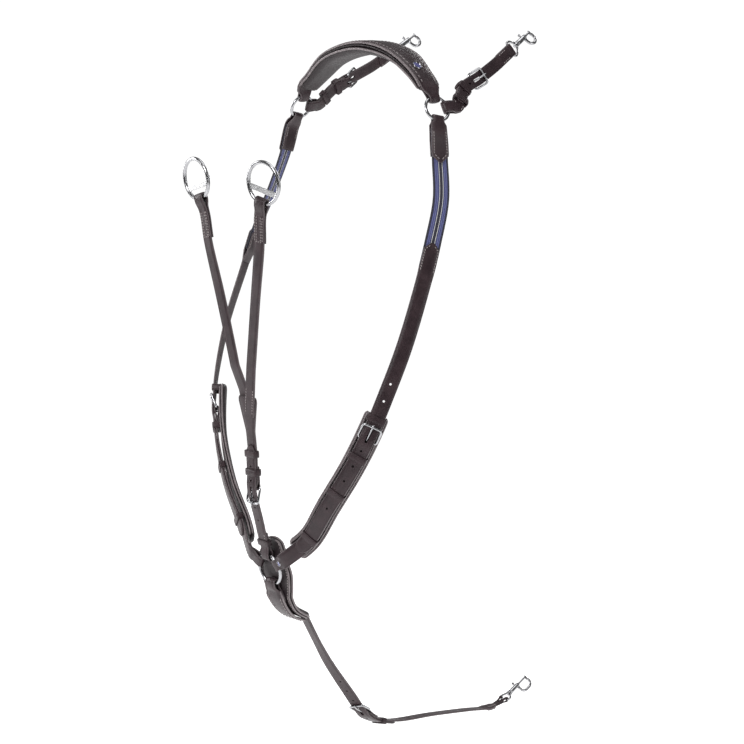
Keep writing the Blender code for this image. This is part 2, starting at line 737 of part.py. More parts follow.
# ------------------------------------------------------------------ the parts
def add_wither(model):
    """Pad, its top leather with an eye at each ring, and the badge."""
    route = wither_route()
    length = route.length
    middle = float(route.reach[np.argmin(np.abs(route.line[:, 0]))])
    slack = ring_slack(WITHER_RING, WITHER_WIRE, RING_LOOP)
    end = turned(WITHER_RING, DOUBLE / 2, WITHER_WIRE, 0, DOUBLE, 0.010, 0.024, slack)
    near = end[::-1]
    far = mirrored(end, length / 2)[::-1]
    between = straight(WITHER_RING + 0.010, length - WITHER_RING - 0.010, 0, LEATHER)[1:-1]
    rows = near + between + far
    s = np.array([row[0] for row in rows])
    inward = np.minimum(s, length - s)
    widths = RING_LOOP + (0.040 - RING_LOOP) * np.clip((inward - 0.020) / 0.060, 0, 1) ** 0.7
    model.node("wither_strap", "neck", band(rows, widths), "leather", route)

    top = DOUBLE - SKIVED / 2 - 2 * GAP
    start = WITHER_RING + 0.012
    stop = length - WITHER_RING - 0.012
    places = [*np.linspace(start, middle - FACET, 11), *np.linspace(middle + FACET, stop, 11)]
    sections = []
    for place in places:
        share = min(place - start, stop - place) / (middle - start)
        swell = math.sin(0.5 * math.pi * min(1, max(0, share)) ** 0.6)
        half = 0.012 + 0.0135 * swell
        low = -(0.0080 + (WITHER_TOP - 0.0080) * min(1, max(0, share / 0.8)) ** 0.8)
        if abs(place - middle) < FACET + 0.0001:
            low = -WITHER_TOP
        edge = 0.0025
        sections.append([
            (place, -half, low + edge), (place, -half + edge, low), (place, half - edge, low),
            (place, half, low + edge), (place, half, top - edge), (place, half - edge, top),
            (place, -half + edge, top), (place, -half, top - edge),
        ])
    model.node("wither_pad", "neck", loft(sections), "padding", route)
    badge_at = 0.052
    spot = basis(route.frame(badge_at)[1], route.frame(badge_at)[2],
                 route.wrap((badge_at, 0, LEATHER / 2 + GAP)))
    badge = turned_solid([(0, 0.0055), (0.0010, 0.0055), (0.0016, 0.0046)], 16)
    stand = Matrix.Rotation(math.radians(-90), 4, "Y")
    model.node("wither_badge", "neck", badge, "badge", place=spot @ stand)


def add_side(model, side):
    """Elastic, shoulder strap, lower strap with its pad, buckle and keepers on one side."""
    route = side_route(side)
    tag = "_" + side
    body = {"name": "neck", "suffix": tag}
    cover = ELASTIC / 2 + 3 * GAP + TURN / 2
    slack = ring_slack(WITHER_RING, WITHER_WIRE, RING_LOOP)
    chape_end = 0.067
    rows = straight(chape_end, WITHER_RING + 0.010, cover, TURN)[:-1]
    rows += turned(WITHER_RING, 0, WITHER_WIRE, cover, -cover, 0.007, 0.044, slack, TURN, TURN)
    s = np.array([row[0] for row in rows])
    widths = RING_LOOP + (0.022 - RING_LOOP) * np.clip((s - 0.018) / 0.010, 0, 1)
    widths = np.where(s > chape_end - 0.001, 0.008, widths)
    model.node("elastic_chape" + tag, "neck", band(rows, widths), "leather", route)

    lower_start = route.at_height(-0.217)
    lower_end = route.at_height(-0.253)
    ends = straight(WITHER_RING + 0.012, lower_end - 0.008, 0, ELASTIC)
    model.node("elastic" + tag, "neck", band(ends, [NARROW + 0.004] * len(ends)), "elastic", route)

    buckle = route.at_height(-0.439)
    tail = route.at_height(-0.578)
    head = straight(lower_start, lower_end - 0.006, cover, TURN, 0.008)
    head.append((lower_end + 0.002, cover / 2, (TURN + LEATHER) / 2))
    rows = head + billet_rows(lower_end + 0.008, buckle, tail)
    widths = tapered(rows, STRAP, tip=0.012, start=0.006)
    strap = prong_slot(band(rows, widths), buckle)
    rows = straight(lower_start + 0.002, lower_end - 0.007, -cover, TURN, 0.008)
    rows += [(lower_end, -cover / 2, TURN), (lower_end + 0.008, -0.0003, TURN)]
    back = band(rows, tapered(rows, STRAP - 0.0002, start=0.005))
    model.node("shoulder_strap" + tag, "neck", joined(strap, [back]), "leather", route)

    ring_at = route.length - CHEST_RING
    chest_slack = ring_slack(CHEST_RING, CHEST_WIRE, RING_LOOP)
    top = turned(buckle, HEEL, BUCKLE_WIRE, CHAPE, FOLD, 0.010, 0.028)[::-1]
    end = mirrored(turned(ring_at, (CHAPE + FOLD) / 2, CHEST_WIRE, CHAPE, FOLD, 0.012, 0.026,
                          chest_slack), ring_at)[::-1]
    rows = top + straight(buckle + 0.010, ring_at - 0.012, CHAPE, LEATHER)[1:-1] + end
    s = np.array([row[0] for row in rows])
    widths = STRAP + (RING_LOOP - STRAP) * np.clip((s - ring_at + 0.014) / 0.010, 0, 1)
    widths = narrowed(rows, widths, buckle, STRAP)
    strap = heel_slot(band(rows, widths), buckle)
    sewn = [sewn_keeper(route.at_height(z), STRAP, CHAPE - LEATHER / 2, LEATHER / 2)
            for z in (-0.505, -0.563)]
    model.node("lower_strap" + tag, "neck", joined(strap, sewn), "leather", route)
    first = keeper(route.at_height(-0.459), STRAP, FOLD - SKIVED / 2, LEATHER / 2)
    model.node("shoulder_keeper" + tag, "neck", first, "leather", route)

    pad_top = HEEL - BUCKLE_WIRE - GAP - TURN - 3 * GAP
    start = buckle - 0.034
    stop = route.at_height(-0.585)
    sections = []
    for place in np.linspace(start, stop, 15):
        half = 0.0140
        low = pad_top - 0.0065
        edge = 0.0020
        sections.append([
            (place, -half, low + edge), (place, -half + edge, low), (place, half - edge, low),
            (place, half, low + edge), (place, half, pad_top - edge), (place, half - edge, pad_top),
            (place, -half + edge, pad_top), (place, -half, pad_top - edge),
        ])
    above = keeper(buckle - 0.027, STRAP, pad_top + 0.0006, LEATHER / 2)
    model.node("lower_pad" + tag, "neck", joined(loft(sections), [above]), "padding", route)
    add_buckle(model, "shoulder", route, buckle, STRAP, body)


def add_saddle(model, side):
    """Wither ring with the strap that runs back to the saddle and its snap."""
    tag = "_" + side
    centre, normal, up, back = wither_frame(side)
    ring = "wither_ring" + tag
    model.body(ring, centre, "neck", tuple(normal))
    place = basis(up, back, centre)
    model.node(ring, ring, torus(WITHER_RING, WITHER_WIRE, place), "steel")

    route = saddle_route(side)
    ring_at = route.length - WITHER_RING
    name = "saddle_strap" + tag
    pivot = route.wrap((ring_at, 0, (CHAPE + FOLD) / 2))
    model.body(name, pivot, ring, tuple(route.frame(ring_at)[2]))
    slack = ring_slack(WITHER_RING, WITHER_WIRE, RING_LOOP)
    buckle = ring_at - 0.068
    top = turned(buckle, HEEL, BUCKLE_WIRE, CHAPE, FOLD, 0.010, 0.024)[::-1]
    end = mirrored(turned(ring_at, (CHAPE + FOLD) / 2, WITHER_WIRE + RING_PLAY, CHAPE, FOLD, 0.012,
                          0.020, slack), ring_at)[::-1]
    rows = top + straight(buckle + 0.010, ring_at - 0.012, CHAPE, LEATHER)[1:-1] + end
    s = np.array([row[0] for row in rows])
    widths = NARROW + (RING_LOOP - NARROW) * np.clip((s - ring_at + 0.014) / 0.010, 0, 1)
    widths = narrowed(rows, widths, buckle, NARROW)
    sewn = [sewn_keeper(ring_at - 0.026, NARROW, CHAPE - LEATHER / 2, LEATHER / 2)]
    chape = joined(heel_slot(band(rows, widths), buckle), sewn)
    model.node("saddle_chape" + tag, name, chape, "leather", route)

    snap_end = turned(0, DOUBLE / 2, BUCKLE_WIRE, 0, DOUBLE, 0.009, 0.026)[::-1]
    rows = snap_end + billet_rows(0.020, buckle, ring_at - 0.022)
    billet = prong_slot(band(rows, tapered(rows, NARROW, tip=0.008)), buckle)
    model.node("saddle_billet" + tag, name, billet, "leather", route)
    loose = keeper(buckle + 0.020, NARROW, FOLD - SKIVED / 2, LEATHER / 2)
    model.node("saddle_keeper" + tag, name, loose, "leather", route)
    add_buckle(model, "saddle", route, buckle, NARROW, {"name": name, "suffix": tag})

    pivot = route.wrap((0, 0, DOUBLE / 2))
    _, tangent, across, _ = route.frame(0)
    add_snap(model, "saddle", tag, name, pivot, -tangent, across, (0.48, 0.36, -0.62), NARROW)


def add_chest(model):
    """Shield-shaped pad, its front flap turned round the ring, the ring and the badge."""
    route = chest_route()
    ring_s = route.reach[48]
    sections = []
    for share in np.linspace(0, 1, 13):
        place = share * route.length
        shape = np.interp(share, [0, 0.06, 0.16, 0.34, 0.55, 0.8, 0.95, 1.0],
                          [0.009, 0.018, 0.0255, 0.0295, 0.0235, 0.0170, 0.0150, 0.0110])
        low = -0.0085
        edge = 0.0025
        sections.append([
            (place, -shape, low + edge), (place, -shape + edge, low), (place, shape - edge, low),
            (place, shape, low + edge), (place, shape, -edge), (place, shape - edge, 0),
            (place, -shape + edge, 0), (place, -shape, -edge),
        ])
    model.node("chest_pad", "neck", loft(sections), "padding", route)

    centre, normal, up, left = chest_frame()
    model.node("chest_ring", "neck", torus(CHEST_RING, CHEST_WIRE, basis(left, up, centre)), "steel")
    slack = ring_slack(CHEST_RING, CHEST_WIRE, RING_LOOP + 0.002)
    fold = SKIVED / 2 + 3 * GAP
    main = fold + SKIVED / 2 + 2 * GAP + LEATHER / 2
    rows = turned(ring_s + CHEST_RING, CHEST_RING_OUT, CHEST_WIRE, main, fold, 0.014, 0.022, slack)
    rows = rows[::-1] + straight(ring_s + CHEST_RING + 0.014, route.length - 0.004, main, LEATHER)[1:]
    s = np.array([row[0] for row in rows])
    widths = np.interp(s, [ring_s + CHEST_RING + 0.004, ring_s + CHEST_RING + 0.016,
                           route.length - 0.020, route.length - 0.004],
                       [RING_LOOP + 0.002, 0.030, 0.024, 0.016])
    model.node("chest_flap", "neck", band(rows, widths), "leather", route)


def add_martingale(model):
    """Billet on the chest ring, forked strap, two arms and their rings."""
    route = martingale_route()
    name = "martingale"
    start = CHEST_RING
    _, _, across, _ = route.frame(start)
    model.body(name, route.wrap((start, 0, DOUBLE / 2)), "neck", tuple(across))
    slack = ring_slack(CHEST_RING, CHEST_WIRE, RING_LOOP - 0.001)
    buckle = route.at_height(-0.507)
    rows = turned(start, DOUBLE / 2, CHEST_WIRE + RING_PLAY, 0, DOUBLE, 0.012, 0.030, slack)[::-1]
    rows += billet_rows(start + 0.020, buckle, route.at_height(-0.456))
    s = np.array([row[0] for row in rows])
    widths = tapered(rows, NARROW, tip=0.008)
    widths = np.where(s < start + 0.012, np.minimum(widths, RING_LOOP - 0.001), widths)
    billet = prong_slot(band(rows, widths), buckle)
    model.node("martingale_billet", name, billet, "leather", route)

    fork_top = route.at_height(-0.398)
    rows = turned(buckle, HEEL, BUCKLE_WIRE, CHAPE, FOLD, 0.010, 0.026)[::-1]
    rows += straight(buckle + 0.010, fork_top, CHAPE, LEATHER, 0.009)[1:]
    s = np.array([row[0] for row in rows])
    widths = np.interp(s, [fork_top - 0.042, fork_top - 0.004, fork_top], [NARROW, 0.033, 0.030])
    widths = narrowed(rows, widths, buckle, NARROW)
    sewn = [sewn_keeper(route.at_height(-0.467), NARROW, CHAPE - LEATHER / 2, LEATHER / 2)]
    fork = joined(heel_slot(band(rows, widths), buckle), sewn)
    model.node("martingale_fork", name, fork, "leather", route)
    loose = keeper(route.at_height(-0.489), NARROW, FOLD - SKIVED / 2, LEATHER / 2)
    model.node("martingale_keeper", name, loose, "leather", route)
    add_buckle(model, "martingale", route, buckle, NARROW, {"name": name, "suffix": ""})

    for side in SIGN:
        add_arm(model, side)


def add_arm(model, side):
    """Arm strap on the fork's face, with its rein ring and the ring's gate."""
    tag = "_" + side
    route = arm_route(side)
    layer = {"l": CHAPE + LEATHER + GAP, "r": CHAPE - LEATHER - GAP}[side]
    ring_at = route.length - REIN_RING
    slack = ring_slack(REIN_RING, REIN_WIRE, NARROW)
    rows = straight(0, 0.030, layer, LEATHER)
    rows += straight(0.060, ring_at - 0.014, 0.0012, LEATHER)
    rows += mirrored(turned(ring_at, 0, REIN_WIRE + RING_PLAY, 0.0012, -0.0015, 0.012, 0.046, slack,
                            LEATHER, SKIVED), ring_at)[::-1]
    model.node("martingale_arm" + tag, "martingale", band(rows, [NARROW] * len(rows)), "leather", route)

    centre, normal, up = rein_frame(side)
    ring = "rein_ring" + tag
    across = route.frame(ring_at)[2]
    model.body(ring, route.wrap((ring_at, 0, 0)), "martingale", tuple(across))
    place = basis(np.cross(up, normal), up, centre)
    sign = SIGN[side]
    gate_from, gate_to = (142, 188) if sign > 0 else (38, -8)
    arc = sorted((gate_from, gate_to))
    edge = math.degrees(GAP / REIN_RING)
    body_arc = np.radians(np.linspace(arc[1] + edge, arc[0] + 360 - edge, 24))
    gate_arc = np.radians(np.linspace(arc[0] + edge, arc[1] - edge, 7))
    body = wire([(REIN_RING * math.cos(a), REIN_RING * math.sin(a), 0) for a in body_arc], REIN_WIRE)
    bar_y = -0.0085
    bar_half = math.sqrt(REIN_RING**2 - bar_y**2)
    plate = box((-bar_half, bar_y - 0.0026, -0.0010), (bar_half, bar_y + 0.0026, 0.0010))
    body = combine(body, plate, "UNION")
    gate = wire([(REIN_RING * math.cos(a), REIN_RING * math.sin(a), 0) for a in gate_arc], REIN_WIRE)
    model.node(ring, ring, body, "steel", place=place)
    hinge = math.radians(gate_to)
    outer = REIN_RING + REIN_WIRE
    pivot = place @ Vector((outer * math.cos(hinge), outer * math.sin(hinge), 0))
    model.body("ring_gate" + tag, pivot, ring, tuple(sign * normal))
    model.node("ring_gate" + tag, "ring_gate" + tag, gate, "steel", place=place)


def add_girth(model):
    """Billet from the chest pad, buckled strap to the girth, lace and snap."""
    route = girth_route()
    name = "girth_strap"
    _, _, across, _ = route.frame(0)
    model.body(name, route.wrap((0, 0, 0)), "neck", tuple(across))
    buckle = route.at_height(-0.832)
    tail = buckle + 0.062
    rows = straight(0.0, 0.022, 0, LEATHER)[:-1] + billet_rows(0.022, buckle, tail)
    billet = prong_slot(band(rows, tapered(rows, NARROW, tip=0.008)), buckle)
    model.node("girth_billet", name, billet, "leather", route)
    wedge_start = route.length - 0.046
    wedge_end = route.length - 0.020
    rows = turned(buckle, HEEL, BUCKLE_WIRE, CHAPE, FOLD, 0.010, 0.024)[::-1]
    rows += straight(buckle + 0.010, wedge_start, CHAPE, LEATHER)[1:]
    rows += [(wedge_start + 0.006, CHAPE, 0.0050), (wedge_end - 0.004, CHAPE, 0.0050),
             (wedge_end, CHAPE, 0.0036)]
    s = np.array([row[0] for row in rows])
    widths = np.interp(s, [wedge_start, wedge_start + 0.008, wedge_end - 0.006, wedge_end],
                       [NARROW, 0.018, 0.015, 0.009])
    widths = narrowed(rows, widths, buckle, NARROW)
    strap = heel_slot(band(rows, widths), buckle)
    loose = keeper(buckle + 0.036, NARROW, CHAPE - LEATHER / 2, LEATHER / 2)
    model.node("girth_keeper", name, loose, "leather", route)
    add_buckle(model, "girth", route, buckle, NARROW, {"name": name, "suffix": ""})

    laces = []
    bar = route.length
    for sign in (1, -1):
        rows = mirrored(turned(bar, CHAPE, BUCKLE_WIRE, CHAPE + 0.0011, CHAPE - 0.0011, 0.007,
                               0.022, 0.0, 0.0014, 0.0014), bar)[::-1]
        rows.insert(0, (bar - 0.022, CHAPE + 0.0011, 0.0014))
        lace = band(rows, [0.0032] * len(rows))
        for v in lace.verts:
            v.co.y += sign * (0.0050 + 0.14 * (v.co.x - bar))
        laces.append(lace)
    model.node("girth_strap", name, joined(strap, laces), "leather", route)
    pivot = route.wrap((bar, 0, CHAPE))
    _, tangent, across, _ = route.frame(bar)
    add_snap(model, "girth", "", name, pivot, tangent + np.array((0, 0, 0.25)), across,
             (0.45, 0.30, -0.5), 0.014, 0.006)


def main():
    clear_scene()
    model = Model()
    model.body("neck", (0, 0, 0))
    add_wither(model)
    for side in SIGN:
        add_side(model, side)
        add_saddle(model, side)
    add_chest(model)
    add_martingale(model)
    add_girth(model)
    return model


if __name__ in ("__main__", "<run_path>"):
    MODEL = main()
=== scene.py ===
"""Breastplate for a horse, dressed in procedural leather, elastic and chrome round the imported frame.

Every strap is made flat, in (along, across, out) coordinates, and wrapped on the same routes as
the CAD.  The flat coordinates are kept as an attribute, so that grain and weave follow the strap.
"""
import math

import bmesh
import bpy
import numpy as np
from mathutils import Matrix, Vector


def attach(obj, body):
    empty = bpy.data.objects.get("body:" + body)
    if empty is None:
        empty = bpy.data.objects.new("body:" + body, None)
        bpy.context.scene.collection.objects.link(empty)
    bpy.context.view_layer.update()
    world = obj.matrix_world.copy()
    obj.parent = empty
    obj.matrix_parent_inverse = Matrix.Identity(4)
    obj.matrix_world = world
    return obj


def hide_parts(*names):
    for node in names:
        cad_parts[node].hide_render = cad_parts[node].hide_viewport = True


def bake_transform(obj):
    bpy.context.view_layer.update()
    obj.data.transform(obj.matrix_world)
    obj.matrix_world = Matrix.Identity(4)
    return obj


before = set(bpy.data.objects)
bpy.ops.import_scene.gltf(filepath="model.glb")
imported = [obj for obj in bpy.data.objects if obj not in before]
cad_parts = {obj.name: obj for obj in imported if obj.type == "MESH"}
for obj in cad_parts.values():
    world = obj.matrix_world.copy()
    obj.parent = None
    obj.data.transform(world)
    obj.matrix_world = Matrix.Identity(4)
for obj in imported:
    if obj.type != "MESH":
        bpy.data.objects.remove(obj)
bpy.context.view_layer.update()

# ------------------------------------------------------------------ sizes, as in the CAD
GAP = 0.0003
STRAP = 0.019
NARROW = 0.016
LEATHER = 0.0024
SKIVED = 0.0016
TURN = 0.0018
BUCKLE_WIRE = 0.0014
BUCKLE_LENGTH = 0.018
PRONG_WIRE = 0.0010
HEEL = -0.0035
CHAPE = -(LEATHER + GAP)
FOLD = CHAPE - LEATHER / 2 - GAP - SKIVED / 2
DOUBLE = -(LEATHER / 2 + GAP + SKIVED / 2)
RISE = HEEL + BUCKLE_WIRE + GAP + TURN + GAP + LEATHER / 2
OUTER_BAR = LEATHER / 2 + GAP + BUCKLE_WIRE
WITHER_RING, WITHER_WIRE = 0.015, 0.0019
CHEST_RING, CHEST_WIRE = 0.019, 0.0021
REIN_RING, REIN_WIRE = 0.0238, 0.0022
RING_LOOP = 0.0142
RING_PLAY = 0.0005
ELASTIC = 0.0016
WITHER_CENTRE = (0.119, -0.009, -0.064)
WITHER_TILT = 26
WITHER_YAW = {"l": 14, "r": -2}
FACE_YAW = {"l": (26, 62), "r": (8, 60)}
SIGN = {"l": 1, "r": -1}
SIDE_LINE = [
    (0.1365, -0.0220, -0.123), (0.1490, -0.0330, -0.168), (0.1560, -0.0530, -0.215),
    (0.1585, -0.0735, -0.266), (0.1587, -0.1015, -0.331), (0.1510, -0.1250, -0.389),
    (0.1414, -0.1385, -0.428), (0.1230, -0.1520, -0.473), (0.0930, -0.1630, -0.523),
    (0.0630, -0.1665, -0.566),
]
WITHER_LINE = [(0.094, -0.0075, -0.0235), (0.066, -0.0060, -0.0015), (0.034, -0.0050, 0.0105)]
WITHER_TOP = 0.0145
FACET_SAG = 0.0002
UNDER_CHAPE = CHAPE - LEATHER / 2
UNDER_FOLD = FOLD - SKIVED / 2
CHEST_RING_SAMPLE = 48  # the sample of the chest route that lies at the ring
GATE_ANGLES = {"l": (142, 188), "r": (-8, 38)}
EYE_INSET = 0.0022  # how much narrower a strap is where it holds a buckle
TIP = 0.45  # width of a cut strap end, as a share of the strap's
SEAM_HALF = 0.0056
STATION = 0.0042  # spacing of the pads' cross-sections
LEAST_HALF = 0.0002
CLOTH_SCALE = 10.0
CLOTH_FRAMES = 20
SADDLE_LINE = [
    (0.1040, 0.1370, 0.0060), (0.1055, 0.1200, -0.0040), (0.1075, 0.1020, -0.0140),
    (0.1120, 0.0700, -0.0285), (0.1145, 0.0430, -0.0400),
]
CHEST_LINE = [
    (0, -0.1660, -0.5730), (0, -0.1681, -0.5983), (0, -0.1655, -0.6110), (0, -0.1629, -0.6237),
    (0, -0.1603, -0.6364), (0, -0.1577, -0.6491), (0, -0.1430, -0.6690), (0, -0.1155, -0.6860),
]
CHEST_RING_OUT = 0.0056
MARTINGALE_LINE = [
    (0, -0.1820, -0.5700), (0, -0.1880, -0.5460), (0, -0.1950, -0.5210), (0, -0.1975, -0.4950),
    (0, -0.1990, -0.4620), (0, -0.2030, -0.4250), (0, -0.2060, -0.3950),
]
ARM_LINE = [
    (0.0045, -0.2035, -0.4200), (0.0085, -0.2061, -0.3940), (0.0165, -0.2088, -0.3513),
    (0.0315, -0.2147, -0.2794), (0.0450, -0.2200, -0.2200),
]
REIN_CENTRE = (0.0600, -0.2265, -0.1445)
GIRTH_LINE = [
    (0, -0.1128, -0.6882), (0, -0.0950, -0.7200), (0, -0.0735, -0.7550), (0, -0.0400, -0.8010),
    (0, -0.0215, -0.8260), (0, 0.0000, -0.8460), (0, 0.0420, -0.8600), (0, 0.1080, -0.8690),
    (0, 0.1760, -0.8800), (0, 0.2200, -0.8880), (0, 0.2420, -0.8870), (0, 0.2560, -0.8840),
]


# ------------------------------------------------------------------ routes
def unit(vector):
    vector = np.asarray(vector, float)
    return vector / np.linalg.norm(vector)


def smooth(rows, at):
    """Catmull-Rom values through rows, at parameters from 0 to len(rows) - 1."""
    rows = np.asarray(rows, float)
    ends = np.vstack([2 * rows[0] - rows[1], rows, 2 * rows[-1] - rows[-2]])
    start = np.minimum(at.astype(int), len(rows) - 2)
    t = (at - start)[:, None]
    a, b, c, d = ends[start], ends[start + 1], ends[start + 2], ends[start + 3]
    return 0.5 * (2 * b + (c - a) * t + (2 * a - 5 * b + 4 * c - d) * t**2
                  + (3 * b - a - 3 * c + d) * t**3)


class Route:
    """A smooth line with the way its face looks, walked by the distance along it."""

    def __init__(self, points, faces, steps=24):
        at = np.linspace(0, len(points) - 1, (len(points) - 1) * steps + 1)
        self.line = smooth(points, at)
        tangent = np.gradient(self.line, axis=0)
        self.tangent = tangent / np.linalg.norm(tangent, axis=1)[:, None]
        face = smooth(faces, at)
        face -= self.tangent * np.sum(face * self.tangent, axis=1)[:, None]
        self.face = face / np.linalg.norm(face, axis=1)[:, None]
        self.side = np.cross(self.face, self.tangent)
        self.reach = np.r_[0, np.cumsum(np.linalg.norm(np.diff(self.line, axis=0), axis=1))]
        self.length = self.reach[-1]

    def pick(self, values, s):
        return np.stack([np.interp(s, self.reach, values[:, i]) for i in range(3)], axis=-1)

    def frame(self, s):
        """Point, tangent, side and face at distance s, straight on past both ends."""
        s = np.asarray(s, float)
        tangent = self.pick(self.tangent, s)
        past = s - np.clip(s, 0, self.length)
        point = self.pick(self.line, s) + tangent * past[..., None]
        return point, tangent, self.pick(self.side, s), self.pick(self.face, s)

    def wrap(self, flat):
        """World places of flat (along, across, out) coordinates."""
        flat = np.asarray(flat, float)
        point, _, side, face = self.frame(flat[..., 0])
        return point + side * flat[..., 1:2] + face * flat[..., 2:3]

    def at_height(self, z):
        return float(self.reach[np.argmin(np.abs(self.line[:, 2] - z))])


def wither_frame(side):
    sign = SIGN[side]
    tilt, yaw = math.radians(WITHER_TILT), math.radians(WITHER_YAW[side])
    x, y, z = WITHER_CENTRE
    normal = np.array((sign * math.cos(tilt) * math.cos(yaw), -math.cos(tilt) * math.sin(yaw),
                       math.sin(tilt)))
    up = unit(np.array((0, 0, 1)) - normal * normal[2])
    return np.array((sign * x, y, z)), normal, up, sign * np.cross(up, normal)


def heading(up, back, degrees):
    a = math.radians(degrees)
    return up * math.cos(a) + back * math.sin(a)


def chest_route():
    return Route(CHEST_LINE, [(0, -1, -0.15)] * len(CHEST_LINE))


def chest_frame():
    route = chest_route()
    s = route.reach[CHEST_RING_SAMPLE]
    _, tangent, _, face = route.frame(s)
    return route.wrap((s, 0, CHEST_RING_OUT)), face, -tangent, np.array((1.0, 0, 0))


def rein_frame(side):
    sign = SIGN[side]
    x, y, z = REIN_CENTRE
    up = unit((sign * 0.25, -0.085, 0.965))
    normal = np.array((sign * 0.10, -1.0, 0.0))
    return np.array((sign * x, y, z)), unit(normal - up * np.dot(normal, up)), up


def side_route(side):
    sign = SIGN[side]
    centre, normal, up, back = wither_frame(side)
    down = heading(up, back, 192)
    chest, chest_face, chest_up, left = chest_frame()
    out = sign * left * math.cos(math.radians(30)) + chest_up * math.sin(math.radians(30))
    points = [centre + down * step for step in (0, 0.010, 0.020, 0.030)]
    faces = [normal] * 4
    for (x, y, z), yaw in zip(SIDE_LINE, np.linspace(*FACE_YAW[side], len(SIDE_LINE))):
        points.append((sign * x, y, z))
        faces.append((sign * math.cos(math.radians(yaw)), -math.sin(math.radians(yaw)), 0.05))
    chest = chest - chest_face * (CHAPE + FOLD) / 2
    points += [chest + out * step for step in (0.039, 0.026, 0.013, 0)]
    faces += [unit(chest_face + sign * left * 0.35)] + [chest_face] * 3
    return Route(points, faces)


def wither_route():
    ends = {}
    for side in SIGN:
        centre, normal, up, back = wither_frame(side)
        rise = heading(up, back, -6)
        centre = centre - normal * DOUBLE / 2
        ends[side] = ([centre + rise * step for step in (0, 0.010, 0.020, 0.028)], [normal] * 4)
    face = [(0.62, 0, 0.78), (0.42, 0, 0.9), (0.2, 0, 0.98)]
    points = ends["l"][0] + WITHER_LINE + [(0, -0.0045, WITHER_TOP + FACET_SAG)]
    points += [(-x, y, z) for x, y, z in reversed(WITHER_LINE)] + ends["r"][0][::-1]
    faces = ends["l"][1] + face + [(0, 0, 1)]
    faces += [(-x, y, z) for x, y, z in reversed(face)] + ends["r"][1]
    return Route(points, faces)


def saddle_route(side):
    sign = SIGN[side]
    centre, normal, up, back = wither_frame(side)
    out = heading(up, back, 83)
    points = [(sign * x, y, z) for x, y, z in SADDLE_LINE]
    centre = centre - normal * (CHAPE + FOLD) / 2
    points += [centre + out * step for step in (0.030, 0.020, 0.010, 0)]
    first = unit((sign * 0.93, -0.12 * sign, 0.3))
    faces = [first] * (len(SADDLE_LINE) - 1) + [unit(first + normal)] + [normal] * 4
    return Route(points, faces)


def martingale_route():
    centre, normal, up, _ = chest_frame()
    centre = centre - normal * DOUBLE / 2
    points = [centre + up * step for step in (0, 0.013, 0.026)] + MARTINGALE_LINE
    return Route(points, [normal] * 3 + [(0, -1, 0)] * len(MARTINGALE_LINE))


def arm_route(side):
    sign = SIGN[side]
    centre, normal, up = rein_frame(side)
    points = [(sign * x, y, z) for x, y, z in ARM_LINE]
    points += [centre - up * step for step in (0.045, 0.030, 0.015, 0)]
    return Route(points, [(0, -1, 0)] * 4 + [normal] * 5)


def girth_route():
    faces = [(0, -0.8, -0.6)] * 2 + [(0.2, -0.75, -0.5), (0.4, -0.7, -0.45), (0.4, -0.6, -0.6),
                                     (0.25, -0.5, -0.8)] + [(0.1, -0.1, -1)] * 6
    return Route(GIRTH_LINE, faces)


# ------------------------------------------------------------------ paths of straps
def straight(start, end, h, thick):
    return [(start, h, thick), (end, h, thick)]


def turned(bar, bar_h, inside, main_h, fold_h, run, back, slack=0.0, main=LEATHER, fold=SKIVED):
    """Path rows of an end that comes in along main_h, goes round a bar and back along fold_h."""
    radius = inside + GAP + TURN / 2
    rows = [(bar + run, main_h, main)]
    for share in (0.75, 0.5, 0.25, 0.0):
        lift = main_h + (bar_h + radius - main_h) * (0.5 + 0.5 * math.cos(math.pi * share))
        rows.append((bar + 0.001 + (run - 0.001) * share, lift, main + (TURN - main) * (1 - share)))
    for angle in np.linspace(90, 270, 13):
        a = math.radians(angle)
        rows.append((bar - slack + radius * math.cos(a), bar_h + radius * math.sin(a), TURN))
    for share in (0.0, 0.25, 0.5, 0.75):
        drop = fold_h + (bar_h - radius - fold_h) * (0.5 + 0.5 * math.cos(math.pi * share))
        rows.append((bar + 0.001 + (run - 0.001) * share, drop, TURN + (fold - TURN) * share))
    rows.append((bar + run, fold_h, fold))
    rows.append((bar + back - 0.002, fold_h, fold))
    rows.append((bar + back, fold_h, fold * 0.6))
    return rows


def mirrored(rows, about):
    return [(2 * about - s, h, t) for s, h, t in rows][::-1]


def ring_slack(ring, wire, width):
    half = width / 2
    bend = ring - math.sqrt(ring**2 - half**2)
    return bend + wire * (1 / math.cos(math.asin(half / ring)) - 1) + GAP + RING_PLAY


def billet_rows(start, buckle, end):
    """Path rows of a billet that goes under the outer bar and over the heel bar."""
    run = 0.013
    rows = straight(start, buckle - BUCKLE_LENGTH - 0.002, 0, LEATHER)
    for share in np.linspace(0, 1, 9)[1:]:
        rise = RISE * (0.5 - 0.5 * math.cos(math.pi * share))
        rows.append((buckle - 0.0175 + 0.0165 * share, rise, LEATHER))
    rows.append((buckle + 0.003, RISE, LEATHER))
    for share in (0.2, 0.4, 0.6, 0.8, 1.0):
        rise = RISE * (0.5 + 0.5 * math.cos(math.pi * share))
        rows.append((buckle + 0.003 + run * share, rise, LEATHER))
    return rows + [(end - 0.002, 0, LEATHER), (end, 0, LEATHER * 0.7)]


